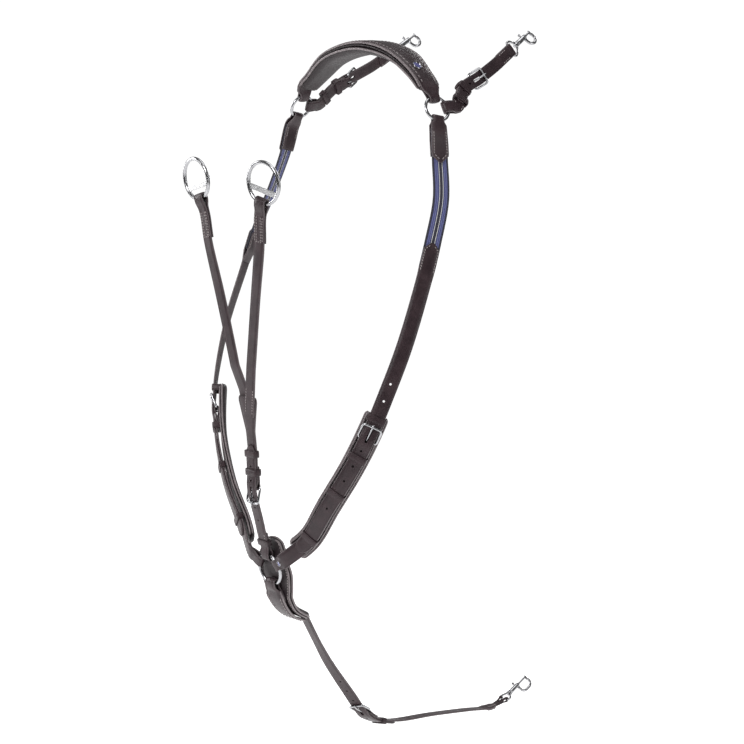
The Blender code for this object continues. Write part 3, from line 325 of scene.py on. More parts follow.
def fine(rows, spacing=0.0007, most=0.0028, bend=0.16):
    """The path rounded off and sampled closely where it bends."""
    rows = np.asarray(rows, float)
    d = np.r_[0, np.cumsum(np.hypot(np.diff(rows[:, 0]), np.diff(rows[:, 1])))]
    keep = np.r_[True, np.diff(d) > 1e-6]
    rows, d = rows[keep], d[keep]
    at = np.linspace(0, d[-1], int(d[-1] / spacing) + 3)
    path = np.stack([np.interp(at, d, rows[:, i]) for i in range(3)], axis=1)
    for _ in range(3):
        path[1:-1] = 0.25 * path[:-2] + 0.5 * path[1:-1] + 0.25 * path[2:]
    run = np.diff(path[:, :2], axis=0)
    angle = np.unwrap(np.arctan2(run[:, 1], run[:, 0]))
    picked = [0, 1]
    for i in range(2, len(path) - 2):
        if at[i] - at[picked[-1]] > most or abs(angle[i] - angle[picked[-1]]) > bend:
            picked.append(i)
    picked += [len(path) - 2, len(path) - 1]
    return path[picked]


# ------------------------------------------------------------------ shapes as (vertices, faces)
def grid(points, closed=False):
    """Faces over rows of equal loops of points, capped at both ends unless closed."""
    rows, count = points.shape[:2]
    faces = []
    for i in range(rows if closed else rows - 1):
        k = (i + 1) % rows
        for j in range(count):
            m = (j + 1) % count
            faces.append((i * count + j, i * count + m, k * count + m, k * count + j))
    if not closed:
        faces.append(tuple(range(count)))
        faces.append(tuple((rows - 1) * count + j for j in range(count)))
    return points.reshape(-1, 3), faces


def merged(*parts):
    verts, faces, base = [], [], 0
    for v, f in parts:
        verts.append(np.asarray(v, float))
        faces += [tuple(i + base for i in face) for face in f]
        base += len(v)
    return np.vstack(verts), faces


def placed(part, matrix):
    m = np.array(matrix)
    return part[0] @ m[:3, :3].T + m[:3, 3], part[1]


def basis(x_axis, y_axis, origin):
    x_axis = Vector(x_axis).normalized()
    y_axis = Vector(y_axis)
    y_axis = (y_axis - x_axis * y_axis.dot(x_axis)).normalized()
    turn = Matrix((x_axis, y_axis, x_axis.cross(y_axis))).transposed().to_4x4()
    return Matrix.Translation(Vector(origin)) @ turn


def strap_section(width, thick, crown=0.00012, crease=0.0017, groove=0.00024):
    """Loop of (across, out) points: rounded edges, a crease line inside each edge, a slight crown."""
    half = width / 2
    r = min(thick * 0.44, half * 0.5)
    g = min(crease, half * 0.42)
    w = g * 0.2
    depth = groove * min(1, thick / 0.0015)
    arc = [90, 60, 30, 0]
    corner = [(half - r + r * math.cos(math.radians(a)), thick / 2 - r + r * math.sin(math.radians(a)))
              for a in arc]
    inner = [(0, 0), (half * 0.45, 0), (half - g - w, 0), (half - g, -depth), (half - g + w, 0)]
    right = [(y, thick / 2 + z) for y, z in inner] + corner
    top = [(-y, z) for y, z in reversed(right[1:])] + right
    low = [(y, -thick / 2 + r - r * math.sin(math.radians(a))) for (y, _), a in zip(corner, arc)][::-1]
    bottom = low[:-1] + [(half * 0.5, -thick / 2), (0, -thick / 2), (-half * 0.5, -thick / 2)]
    bottom += [(-y, z) for y, z in reversed(low[:-1])]
    loop = np.array(top + bottom[1:-1])
    rise = crown * (1 - (loop[:, 0] / half) ** 2)
    loop[:, 1] += np.where(loop[:, 1] > 0, rise, 0)
    return loop


def band(rows, width_at, **section):
    """A strap of the path's rows, with its width given by the distance along."""
    path = fine(rows)
    run = np.gradient(path[:, :2], axis=0)
    run /= np.linalg.norm(run, axis=1)[:, None]
    loops = []
    for (s, h, thick), (ds, dh) in zip(path, run):
        loop = strap_section(width_at(s), thick, **section)
        loops.append(np.stack([s - dh * loop[:, 1], loop[:, 0], h + ds * loop[:, 1]], axis=1))
    return grid(np.array(loops))


def tube(points, radius, ref, closed=False, sides=12):
    """A round rod along the points; ref is a direction, or one at each point, across the bends."""
    points = np.asarray(points, float)
    if closed:
        tangent = np.roll(points, -1, 0) - np.roll(points, 1, 0)
    else:
        tangent = np.gradient(points, axis=0)
    tangent /= np.linalg.norm(tangent, axis=1)[:, None]
    radius = np.broadcast_to(np.asarray(radius, float), (len(points),)).copy()
    ref = np.broadcast_to(np.asarray(ref, float), points.shape).copy()
    if not closed:
        for end, sign, arc in ((0, -1, (80, 60, 30)), (-1, 1, (30, 60, 80))):
            arc = np.radians(arc)[:, None]
            caps = (points[end] + sign * tangent[end] * radius[end] * np.sin(arc),
                    radius[end] * np.cos(arc[:, 0]),
                    np.repeat(tangent[[end]], 3, 0), np.repeat(ref[[end]], 3, 0))
            points, radius, tangent, ref = (np.concatenate([cap, rows] if end == 0 else [rows, cap])
                                            for rows, cap in zip((points, radius, tangent, ref), caps))
    side = np.cross(tangent, ref)
    side /= np.linalg.norm(side, axis=1)[:, None]
    up = np.cross(side, tangent)
    angles = np.linspace(0, 2 * math.pi, sides, endpoint=False)
    ring = side[:, None] * np.cos(angles)[None, :, None] + up[:, None] * np.sin(angles)[None, :, None]
    return grid(points[:, None] + ring * radius[:, None, None], closed)


def lathe(profile, sides=28):
    """A solid of revolution about X from (along, radius) rows, capped flat at both ends."""
    angles = np.linspace(0, 2 * math.pi, sides, endpoint=False)
    rows = [np.stack([np.full(sides, x), r * np.cos(angles), r * np.sin(angles)], axis=1)
            for x, r in profile]
    return grid(np.array(rows))


def rounded(profile, cut=0.0003):
    """A lathe profile with its corners cut to small rounds."""
    result = [profile[0]]
    for before, here, after in zip(profile, profile[1:], profile[2:]):
        here = np.array(here)
        for other, share in ((before, 0.9), (before, 0.3), (after, 0.3), (after, 0.9)):
            step = np.array(other) - here
            size = max(np.linalg.norm(step), 1e-9)
            result.append(tuple(here + step / size * min(cut, size * 0.45) * share))
    return result + [profile[-1]]


def keeper_shape(s, width, bottom, top, length=0.008, thick=0.0012):
    """A leather loop across the strap at s, with creased edges."""
    half = width / 2 + 0.0005 + thick / 2
    low, high = bottom - GAP - thick / 2, top + GAP + thick / 2
    r = 0.0014
    path, normals = [], []
    for cy, ch, start in ((half - r, high - r, 0), (-half + r, high - r, 90),
                          (-half + r, low + r, 180), (half - r, low + r, 270)):
        for a in np.radians(np.linspace(start, start + 90, 6)):
            path.append((cy + r * math.cos(a), ch + r * math.sin(a)))
            normals.append((math.cos(a), math.sin(a)))
    loop = strap_section(length, thick, crown=0.00015, crease=0.0010, groove=0.00018)
    loops = [np.stack([s + loop[:, 0], y + ny * loop[:, 1], h + nh * loop[:, 1]], axis=1)
             for (y, h), (ny, nh) in zip(path, normals)]
    return grid(np.array(loops), closed=True)


STITCH_ARCH = ((-1, -0.8, 0.5), (-0.6, 0.4, 1), (0, 0.65, 1.1), (0.6, 0.4, 1), (1, -0.8, 0.5))


def stitch_shape(lines, pitch=0.0032, radius=0.00044):
    """Threads of sewing along (s0, y0, s1, y1, h) lines, each stitch a short arched rod."""
    parts = []
    for s0, y0, s1, y1, h in lines:
        length = math.hypot(s1 - s0, y1 - y0)
        count = max(1, int(length / pitch))
        along = np.array(((s1 - s0) / length, (y1 - y0) / length, 0))
        across = np.array((-along[1], along[0], 0))
        for i in range(count):
            middle = np.array((s0, y0, h)) + along * (i + 0.5) * length / count
            reach = 0.38 * length / count
            rows = []
            for t, lift, size in STITCH_ARCH:
                centre = middle + along * reach * t + across * radius * 0.5 * t
                centre = centre + np.array((0, 0, radius * lift))
                a = np.linspace(0, 2 * math.pi, 6, endpoint=False)
                rows.append(centre + radius * size * (across * np.cos(a)[:, None]
                                                      + np.array((0, 0, 1.0)) * np.sin(a)[:, None]))
            parts.append(grid(np.array(rows)))
    return merged(*parts)


def row_pair(start, end, half, h):
    """Two stitch lines at equal distances from the middle."""
    return [(start, y, end, y, h) for y in (-half, half)]


# ------------------------------------------------------------------ materials
class Nodes:
    """Short calls for building a node tree."""

    def __init__(self, tree):
        self.tree = tree

    def fill(self, node, values):
        """Link or set each given socket of the node."""
        for key, value in values.items():
            if isinstance(value, bpy.types.NodeSocket):
                self.tree.links.new(value, node.inputs[key])
            else:
                node.inputs[key].default_value = value

    def add(self, kind, inputs, **settings):
        node = self.tree.nodes.new(kind)
        for key, value in settings.items():
            setattr(node, key, value)
        self.fill(node, inputs)
        return node

    def math(self, operation, a, b=0.0, c=0.0):
        return self.add("ShaderNodeMath", {0: a, 1: b, 2: c}, operation=operation).outputs[0]

    def mix(self, factor, a, b, blend="MIX"):
        a, b = (side if isinstance(side, bpy.types.NodeSocket) else (*side, 1) for side in (a, b))
        node = self.add("ShaderNodeMix", {}, data_type="RGBA", blend_type=blend)
        self.fill(node, {"Factor": factor, 6: a, 7: b})
        return node.outputs[2]

    def ramp(self, factor, stops):
        node = self.add("ShaderNodeValToRGB", {0: factor})
        points = node.color_ramp.elements
        while len(points) < len(stops):
            points.new(0.5)
        for point, (place, value) in zip(points, stops):
            point.position = place
            point.color = (*value, 1) if isinstance(value, tuple) else (value, value, value, 1)
        return node.outputs[0]

    def noise(self, where, scale, detail, **more):
        return self.add("ShaderNodeTexNoise",
                        {"Vector": where, "Scale": scale, "Detail": detail, **more}).outputs[0]

    def bump(self, height, strength, distance, **more):
        return self.add("ShaderNodeBump", {"Height": height, "Strength": strength,
                                           "Distance": distance, **more}).outputs[0]

    def place(self, kind="Object"):
        return self.add("ShaderNodeTexCoord", {}).outputs[kind]

    def stored(self, name, socket):
        return self.add("ShaderNodeAttribute", {}, attribute_name=name).outputs[socket]


def new_material(name):
    material = bpy.data.materials.new(name)
    material.use_nodes = True
    return material, Nodes(material.node_tree), material.node_tree.nodes["Principled BSDF"]


def leather_material(name, tone, deep, edge_highlight_tone, rough=0.39, grain=1.0):
    """Finished leather: pebbled grain, soft pull-up marks, and waxed edges lightened by a painted highlight.
    """
    material, n, shader = new_material(name)
    flat, edge = n.stored("flat", "Vector"), n.stored("edge", "Fac")
    cloudy = n.noise(flat, 55.0, 5.0, Roughness=0.6)
    fine_noise = n.noise(flat, 900.0, 4.0, Roughness=0.65)
    cells = n.add("ShaderNodeTexVoronoi", {}, feature="DISTANCE_TO_EDGE")
    n.fill(cells, {"Vector": flat, "Scale": 1150.0, "Randomness": 1.0})
    pebble = n.ramp(cells.outputs["Distance"], [(0.0, 0.0), (0.16, 0.8), (0.45, 1.0)])
    shade = n.math("MULTIPLY_ADD", fine_noise, 0.45, n.math("MULTIPLY", cloudy, 0.55))
    colour = n.mix(n.ramp(shade, [(0.38, 0.0), (0.62, 1.0)]), deep, tone)
    colour = n.mix(n.math("MULTIPLY", n.math("SUBTRACT", 1.0, pebble), 0.35), colour, deep)
    gloss = n.math("MULTIPLY_ADD", cloudy, 0.22, rough - 0.11)
    relief = n.math("MULTIPLY_ADD", pebble, 0.6, n.math("MULTIPLY", fine_noise, 0.5))
    near = n.bump(relief, 0.30 * grain, 0.00022)
    # Painted highlight: the colour is mixed towards the much lighter edge tone along the edges, where light
    # catches them.
    n.fill(shader, {"Base Color": n.mix(n.math("MULTIPLY", edge, 0.75), colour, edge_highlight_tone),
                    "Roughness": n.math("MULTIPLY_ADD", edge, -0.08, gloss),
                    "Specular IOR Level": 0.4, "Sheen Weight": 0.04, "Sheen Roughness": 0.45,
                    "Normal": n.bump(cloudy, 0.25, 0.0008, Normal=near)})
    return material


def elastic_material():
    """Woven elastic: navy edges, blue bands, thin white lines and a dark middle, with cross ribs."""
    material, n, shader = new_material("woven elastic")
    flat = n.stored("flat", "Vector")
    along, side, _ = n.add("ShaderNodeSeparateXYZ", {0: flat}).outputs
    across = n.math("MULTIPLY", n.math("ABSOLUTE", side), 100.0)
    navy, blue = (0.018, 0.017, 0.034), (0.062, 0.066, 0.215)
    pale, white = (0.21, 0.24, 0.48), (0.72, 0.72, 0.74)
    bands = [(0.0, 0.17, navy), (0.175, 0.245, white), (0.25, 0.29, navy), (0.295, 0.42, blue),
             (0.425, 0.47, pale), (0.475, 0.62, blue), (0.625, 0.66, pale), (0.665, 0.75, blue)]
    stripes = [(place, tone) for start, stop, tone in bands for place in (start, stop)]
    rib = n.math("SINE", n.math("MULTIPLY", along, 2 * math.pi / 0.0011))
    warp = n.math("SINE", n.math("MULTIPLY", side, 2 * math.pi / 0.00055))
    weave = n.math("MULTIPLY_ADD", rib, 0.5, n.math("MULTIPLY", warp, 0.35))
    weave = n.math("MULTIPLY_ADD", n.noise(flat, 2200.0, 3.0), 0.6, weave)
    shadow = n.ramp(n.math("MULTIPLY_ADD", weave, 0.4, 0.45), [(0.0, 0.62), (0.7, 1.0)])
    colour = n.mix(1.0, n.ramp(across, stripes + [(0.755, navy)]), shadow, "MULTIPLY")
    n.fill(shader, {"Base Color": colour, "Roughness": 0.72, "Sheen Weight": 0.3,
                    "Sheen Roughness": 0.5, "Normal": n.bump(weave, 0.55, 0.00025)})
    return material


def metal_material(name, colour, rough, worn=0.05):
    """Polished plate with faint polishing marks."""
    material, n, shader = new_material(name)
    cloud = n.noise(n.place(), 140.0, 4.0)
    dull = tuple(0.82 * c for c in colour)
    n.fill(shader, {"Base Color": n.mix(n.ramp(cloud, [(0.42, 0.0), (0.68, 1.0)]), colour, dull),
                    "Roughness": n.math("MULTIPLY_ADD", cloud, worn * 2, rough - worn),
                    "Metallic": 1.0, "Normal": n.bump(n.noise(n.place(), 2600.0, 3.0), 0.08, 0.0001)})
    return material


def badge_material():
    """Blue enamel with metal flakes in it."""
    material, n, shader = new_material("badge enamel")
    flakes = n.add("ShaderNodeTexVoronoi", {"Vector": n.place(), "Scale": 2600.0}).outputs["Distance"]
    colour = n.mix(n.noise(n.place(), 420.0, 3.0), (0.050, 0.050, 0.20), (0.13, 0.13, 0.36))
    colour = n.mix(n.ramp(flakes, [(0.0, 0.7), (0.35, 0.0)]), colour, (0.42, 0.44, 0.72))
    n.fill(shader, {"Base Color": colour, "Roughness": 0.28, "Coat Weight": 0.6,
                    "Coat Roughness": 0.08, "Normal": n.bump(flakes, 0.2, 0.0002)})
    return material


def thread_material(name, tone, deep):
    """Waxed thread with its twist."""
    material, n, shader = new_material(name)
    twist = n.add("ShaderNodeTexWave", {"Vector": n.place(), "Scale": 900.0, "Distortion": 2.0},
                  bands_direction="DIAGONAL").outputs["Fac"]
    colour = n.mix(n.math("MULTIPLY", twist, 0.6), tone, deep)
    colour = n.mix(n.math("MULTIPLY", n.noise(n.place(), 160.0, 2.0), 0.4), colour, deep)
    n.fill(shader, {"Base Color": colour, "Roughness": 0.5, "Normal": n.bump(twist, 0.5, 0.0001)})
    return material


# Each leather's third colour is its edge tone, far lighter than the leather: a painted highlight on the
# edges.
SOFT_LOOK = leather_material("soft pad leather", (0.025, 0.015, 0.018), (0.011, 0.006, 0.008),
                             (0.060, 0.048, 0.052), rough=0.50, grain=1.5)
# Rolled edge leather is coloured far lighter than the straps throughout: a painted highlight on the piping.
ROLL_HIGHLIGHT_LOOK = leather_material("rolled edge leather, painted highlight", (0.26, 0.225, 0.232), (0.15, 0.125, 0.130),
                             (0.30, 0.265, 0.272), rough=0.36, grain=0.6)
CHROME_LOOK = metal_material("polished plate", (0.33, 0.33, 0.345), 0.24)
BRIGHT_LOOK = metal_material("bright plate", (0.44, 0.44, 0.455), 0.20, 0.04)
PLATE_LOOK = metal_material("brushed plate", (0.62, 0.62, 0.63), 0.42, 0.04)
THREAD_LOOK = thread_material("waxed thread", (0.46, 0.41, 0.41), (0.22, 0.19, 0.19))
LOOKS = {
    "leather": leather_material("havana leather", (0.045, 0.025, 0.030), (0.018, 0.009, 0.012),
                                (0.130, 0.106, 0.112)),
    "padding": SOFT_LOOK, "elastic": elastic_material(), "steel": CHROME_LOOK,
    "badge": badge_material(),
}


# ------------------------------------------------------------------ pieces
def outward(mesh):
    """Turn all faces out."""
    bm = bmesh.new()
    bm.from_mesh(mesh)
    bmesh.ops.recalc_face_normals(bm, faces=bm.faces[:])
    bm.to_mesh(mesh)
    bm.free()


def mesh_object(name, part):
    mesh = bpy.data.meshes.new(name)
    mesh.from_pydata([tuple(v) for v in part[0]], [], [list(f) for f in part[1]])
    mesh.validate()
    item = bpy.data.objects.new(name, mesh)
    bpy.context.scene.collection.objects.link(item)
    outward(mesh)
    return item


def applied(item):
    """The item with its modifiers made part of its mesh."""
    bpy.context.view_layer.update()
    graph = bpy.context.evaluated_depsgraph_get()
    mesh = bpy.data.meshes.new_from_object(item.evaluated_get(graph))
    old = item.data
    item.modifiers.clear()
    item.data = mesh
    bpy.data.meshes.remove(old)


def cut(item, tools):
    """Take the tool shapes out of the item."""
    tool = mesh_object("tool", merged(*tools))
    modifier = item.modifiers.new("cut", "BOOLEAN")
    modifier.operation, modifier.solver, modifier.object = "DIFFERENCE", "EXACT", tool
    applied(item)
    bpy.data.objects.remove(tool)


def hole(s, radius=0.00135, depth=0.004):
    """Punched hole through a strap."""
    angles = np.linspace(0, 2 * math.pi, 16, endpoint=False)
    rows = [np.stack([s + radius * np.cos(angles), radius * np.sin(angles), np.full(16, z)], axis=1)
            for z in (-depth, depth)]
    return grid(np.array(rows))


def slot_tool(s0, s1, half, low, high):
    """Rounded slot through a strap, from s0 to s1."""
    right = np.radians(np.linspace(-90, 90, 9))
    left = np.radians(np.linspace(90, 270, 9))
    outline = [(s1 - half + half * math.cos(a), half * math.sin(a)) for a in right]
    outline += [(s0 + half + half * math.cos(a), half * math.sin(a)) for a in left]
    return grid(np.array([[(s, y, h) for s, y in outline] for h in (low, high)]))


def chape_slot(buckle):
    """Slot in the turned end that the prong's eye turns in."""
    return slot_tool(buckle - 0.007, buckle + 0.0055, PRONG_WIRE + 0.0008, HEEL - 0.006, HEEL + 0.006)


def billet_cuts(buckle, pitch, steps, last=math.inf):
    """The prong's slot in a billet, and its punched holes up to the last place."""
    places = [buckle - 0.008 + pitch * k for k in steps]
    slot = slot_tool(buckle - 0.0130, buckle + 0.0022, PRONG_WIRE + 0.0007, -0.01, 0.01)
    return [slot] + [hole(s) for s in places if s < last]


def finish_piece(item, look, body, slot, nodes=(), route=None, half_at=None, angle=38, edge=0.0010):
    """Give the flat item its attributes and look, wrap it on its route and let it ride."""
    mesh = item.data
    count = len(mesh.vertices)
    flat = np.empty(count * 3)
    mesh.vertices.foreach_get("co", flat)
    flat = flat.reshape(-1, 3)
    rim = np.zeros(count)
    if half_at is not None:
        half = np.array([half_at(s) / 2 for s in flat[:, 0]])
        rim = np.clip(1 - (half - np.abs(flat[:, 1])) / edge, 0, 1)
    mesh.attributes.new("flat", "FLOAT_VECTOR", "POINT").data.foreach_set("vector", flat.ravel())
    mesh.attributes.new("edge", "FLOAT", "POINT").data.foreach_set("value", rim)
    if route is not None:
        mesh.vertices.foreach_set("co", route.wrap(flat).ravel())
    outward(mesh)
    mesh.polygons.foreach_set("use_smooth", np.ones(len(mesh.polygons), bool))
    mesh.set_sharp_from_angle(angle=math.radians(angle))
    mesh.materials.clear()
    mesh.materials.append(look)
    mesh.update()
    if body:
        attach(item, body)
    if nodes:
        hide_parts(*nodes)
    return item


def piece(name, part, body, slot="leather", nodes=(), route=None, cuts=(), look=None, place=None, **more):
    item = mesh_object(name, part)
    if cuts:
        cut(item, cuts)
    if place is not None:
        item.data.transform(place)
    return finish_piece(item, look or LOOKS[slot], body, slot, nodes, route, **more)


def strap(name, node, body, route, rows, wide, cuts=(), back=(), **section):
    """A strap, with a second layer where one is given, that stands for a node."""
    part = merged(band(rows, wide, **section), *back)
    return piece(name, part, body, "leather", [node], route, cuts, half_at=wide)


def metal(name, part, body, nodes=(), place=None, route=None, look=BRIGHT_LOOK, cuts=()):
    piece(name, part, body, "steel", nodes, route, cuts, look, place, angle=32)


def threads(name, lines, body, route):
    piece(name, stitch_shape(lines), body, "leather", (), route, look=THREAD_LOOK, angle=80)


def add_keeper(name, s, width, low, body, route, nodes=(), **more):
    piece(name, keeper_shape(s, width, low, LEATHER / 2, **more), body, "leather", nodes, route)


def piping(name, route, places, side_at, height_at, radius, look=ROLL_HIGHLIGHT_LOOK):
    """Rolled edge: a cord under thin leather, along the route. By default its leather is coloured far
    lighter than the straps, a painted highlight.
    """
    rows = np.array([(s, side_at(s), height_at(s)) for s in places])
    piece(name, tube(rows, radius, (0, 0, 1)), "neck", "leather", (), route, look=look, angle=60)


def width_line(*stops):
    """Width as a function of the distance along, straight between the stops."""
    places, widths = zip(*stops)
    return lambda s: float(np.interp(s, places, widths))


def with_eyes(width_at, bar, full):
    """The width kept narrow where the strap goes round a bar."""
    return lambda s: min(width_at(s), full) if abs(s - bar) < 0.007 else width_at(s)


def buckle_rows(buckle, back):
    """Path rows of the turned end that holds a buckle."""
    return turned(buckle, HEEL, BUCKLE_WIRE, CHAPE, FOLD, 0.010, back)[::-1]


def ring_rows(bar, bar_h, inside, main_h, fold_h, run, back, *more):
    """Path rows of the far end of a strap, where it goes round a bar."""
    return mirrored(turned(bar, bar_h, inside, main_h, fold_h, run, back, *more), bar)[::-1]


def edge_seam(steps, offset_at, height_at):
    """Stitch lines along both edges of a piece whose width changes."""
    return [(a, sign * offset_at(a), b, sign * offset_at(b), height_at(a))
            for a, b in zip(steps, steps[1:]) for sign in (1, -1)]


# ------------------------------------------------------------------ metal shapes
def buckle_shape(s, width):
    half = width / 2 + 0.0007 + BUCKLE_WIRE
    corner = 0.0032
    slope = (OUTER_BAR - HEEL) / BUCKLE_LENGTH
    points = []
    centres = [(-corner, half - corner, 0), (-BUCKLE_LENGTH + corner, half - corner, 90),
               (-BUCKLE_LENGTH + corner, -half + corner, 180), (-corner, -half + corner, 270)]
    for i, (centre_s, centre_w, start) in enumerate(centres):
        for angle in np.linspace(start, start + 90, 7):
            a = math.radians(angle)
            along = centre_s + corner * math.cos(a)
            points.append((s + along, centre_w + corner * math.sin(a), HEEL - along * slope))
        last, nxt = points[-1], centres[(i + 1) % 4]
        a = math.radians(nxt[2])
        along = nxt[0] + corner * math.cos(a)
        goal = (s + along, nxt[1] + corner * math.sin(a), HEEL - along * slope)
        points += [tuple(np.array(last) + (np.array(goal) - last) * t) for t in (0.25, 0.5, 0.75)]
    points = np.array(points)
    radius = np.where(points[:, 0] < s - BUCKLE_LENGTH + 0.0012, BUCKLE_WIRE * 1.02, BUCKLE_WIRE * 0.97)
    return tube(points, radius, (slope, 0, 1), closed=True, sides=16)


def prong_shape(s):
    eye = BUCKLE_WIRE + GAP + PRONG_WIRE
    rest = OUTER_BAR - HEEL + BUCKLE_WIRE + GAP + PRONG_WIRE
    far = math.hypot(BUCKLE_LENGTH, rest)
    leave = math.degrees(math.atan2(rest, -BUCKLE_LENGTH) - math.acos(eye / far))
    points = []
    for angle in np.linspace(leave + 85 - 360, leave, 20):
        a = math.radians(angle)
        points.append((s + eye * math.cos(a), 0, HEEL + eye * math.sin(a)))
    start, goal = np.array(points[-1]), np.array((s - BUCKLE_LENGTH, 0, HEEL + rest))
    points += [tuple(start + (goal - start) * t) for t in np.linspace(0, 1, 9)[1:]]
    points += [(s - BUCKLE_LENGTH - 0.0012, 0, HEEL + rest - 0.0001),
               (s - BUCKLE_LENGTH - 0.0024, 0, HEEL + rest - 0.0004)]
    radius = np.full(len(points), PRONG_WIRE)
    radius[-3:] = PRONG_WIRE * np.array((0.98, 0.9, 0.72))
    return tube(points, radius, (0, 1, 0), sides=12)


def ring_shape(major, minor, start=0.0, stop=360.0, sides=16, count=72):
    closed = stop - start >= 360
    angles = np.radians(np.linspace(start, stop, count, endpoint=not closed))
    points = np.stack([major * np.cos(angles), major * np.sin(angles), np.zeros(len(angles))], axis=1)
    return tube(points, minor, (0, 0, 1), closed=closed, sides=sides)


def bar_shape(half_length, half_width, half_thick):
    """Flat bar along X with rounded edges and a raised rim on its broad faces."""
    w, t, c = half_width, half_thick, 0.0003
    loop = [(w, t - c), (w - c * 0.3, t - c * 0.3), (w - c, t), (w - 2.2 * c, t), (w - 3 * c, t - c * 0.7)]
    loop = loop + [(-y, z) for y, z in reversed(loop)]
    loop = loop + [(-y, -z) for y, z in loop]
    places = np.linspace(-half_length, half_length, 9)
    return grid(np.array([[(x, y, z) for y, z in loop] for x in places]))


EYE_LENGTH = 0.0110
BOSS_LENGTH = 0.0030
SHANK_END = 0.0330
CLAW = 0.0068
CLAW_WIRE = 0.0019


def eye_shape(width):
    half = width / 2 + 0.0005 + BUCKLE_WIRE
    corners = [(0, -half + 0.002), (0, 0), (0, half - 0.002), (0.0008, half - 0.0004), (0.0030, half),
               (0.0060, half - 0.0012), (0.0095, 0.0050), (EYE_LENGTH + 0.0015, 0.0026)]
    loop = corners + [(x, -y) for x, y in reversed(corners[3:])]
    rows = np.array([(x, y, 0) for x, y in loop])
    n = len(rows)
    wrapped = np.vstack([rows[-2:], rows, rows[:3]])
    points = smooth(wrapped, np.linspace(2, 2 + n, n * 6 + 1))[:-1]
    body = tube(points, BUCKLE_WIRE, (0, 0, 1), closed=True, sides=14)
    boss = lathe(rounded([(EYE_LENGTH, 0.0019), (EYE_LENGTH, 0.0036), (EYE_LENGTH + 0.0010, 0.0036),
                          (EYE_LENGTH + 0.0014, 0.0033), (EYE_LENGTH + 0.0020, 0.0035),
                          (EYE_LENGTH + BOSS_LENGTH, 0.0034), (EYE_LENGTH + BOSS_LENGTH, 0.0019)],
                         0.00025))
    return merged(body, boss)


def hook_shapes(reach):
    """Shank with its pin, and claw."""
    top = EYE_LENGTH + BOSS_LENGTH
    profile = [(EYE_LENGTH - 0.0021, 0.0002), (EYE_LENGTH - 0.0021, 0.0019),
               (EYE_LENGTH - 0.0016, 0.0026),
               (EYE_LENGTH - GAP, 0.0026), (EYE_LENGTH - GAP, 0.0014), (top + GAP, 0.0014),
               (top + GAP, 0.0032), (top + 0.0014, 0.0034), (top + 0.0020, 0.0030), (top + 0.0027, 0.0034),
               (top + 0.005, 0.0033), (SHANK_END - 0.0036, 0.0031), (SHANK_END - 0.0030, 0.0027),
               (SHANK_END - 0.0022, 0.0031), (SHANK_END, 0.0028), (SHANK_END, 0.0013)]
    shank = lathe(rounded(profile, 0.0003))
    centre = SHANK_END + 0.0045
    points = [(SHANK_END - 0.0045, 0.0012, 0), (SHANK_END - 0.0022, 0.0022, 0),
              (centre - CLAW - 0.0004, 0.0044, 0)]
    for angle in np.linspace(160, 90, 6):
        a = math.radians(angle)
        points.append((centre + CLAW * math.cos(a), CLAW + CLAW * math.sin(a), 0))
    for angle in np.linspace(90, -35, 11):
        a = math.radians(angle)
        points.append((centre + reach + CLAW * math.cos(a), CLAW + CLAW * math.sin(a), 0))
    points.append((centre + reach + 0.0058, -0.0008, 0))
    keep = [0] + [i for i in range(1, len(points)) if math.dist(points[i], points[i - 1]) > 1e-5]
    rows = np.array([points[i] for i in keep])
    fine_rows = smooth(rows, np.linspace(0, len(rows) - 1, 60))
    radius = np.interp(np.linspace(0, 1, 60), [0, 0.2, 0.6, 0.9, 1], [1.05, 1.05, 1.0, 0.98, 0.9])
    return shank, tube(fine_rows, CLAW_WIRE * radius, (0, 0, 1), sides=16)


def bolt_shape(reach):
    back = SHANK_END - 0.0080
    tip = SHANK_END + 0.0045 + reach + 0.0058 - CLAW_WIRE - GAP
    rod = lathe(rounded([(back, 0.0002), (back, 0.0013), (tip, 0.0013), (tip, 0.0002)], 0.0003), 20)
    knob = lathe(rounded([(0, 0.0002), (0, 0.0008), (0.0042, 0.0008), (0.0046, 0.0017), (0.0055, 0.0015),
                          (0.0064, 0.0019), (0.0074, 0.0012), (0.0074, 0.0002)], 0.0002), 20)
    turn = Matrix.Translation((back + 0.0022, 0, 0)) @ Matrix.Rotation(math.radians(-90), 4, "Z")
    return merged(rod, placed(knob, turn))


def add_buckle(name, tag, route, s, width, body):
    frame_name, prong = name + "_buckle" + tag, name + "_prong" + tag
    metal(name + "_buckle_plated" + tag, buckle_shape(s, width), body, [frame_name], route=route)
    metal(name + "_prong_plated" + tag, prong_shape(s), prong, [prong], route=route)


def add_snap(name, tag, pivot, along, across, aside, width, reach=0.0):
    eye, hook, bolt = (name + "_snap_" + kind + tag for kind in ("eye", "hook", "bolt"))
    metal(eye + "_plated", eye_shape(width), eye, [eye], basis(along, across, pivot))
    turn = basis(along, aside, pivot)
    shank, claw = hook_shapes(reach)
    corners = ((-0.006, -0.0012), (0, -0.0012), (0, 0.0012), (-0.006, 0.0012))
    gap = grid(np.array([[(x, y, z) for y, z in corners]
                         for x in (SHANK_END - 0.0150, SHANK_END - 0.0040)]))
    bore = lathe([(SHANK_END - 0.0155, 0.0017), (SHANK_END + 0.0020, 0.0017)], 20)
    metal(hook + "_shank", shank, hook, [hook], turn, cuts=[gap, bore])
    metal(hook + "_claw", claw, hook, place=turn)
    metal(bolt + "_plated", bolt_shape(reach), bolt, [bolt], turn, look=CHROME_LOOK)


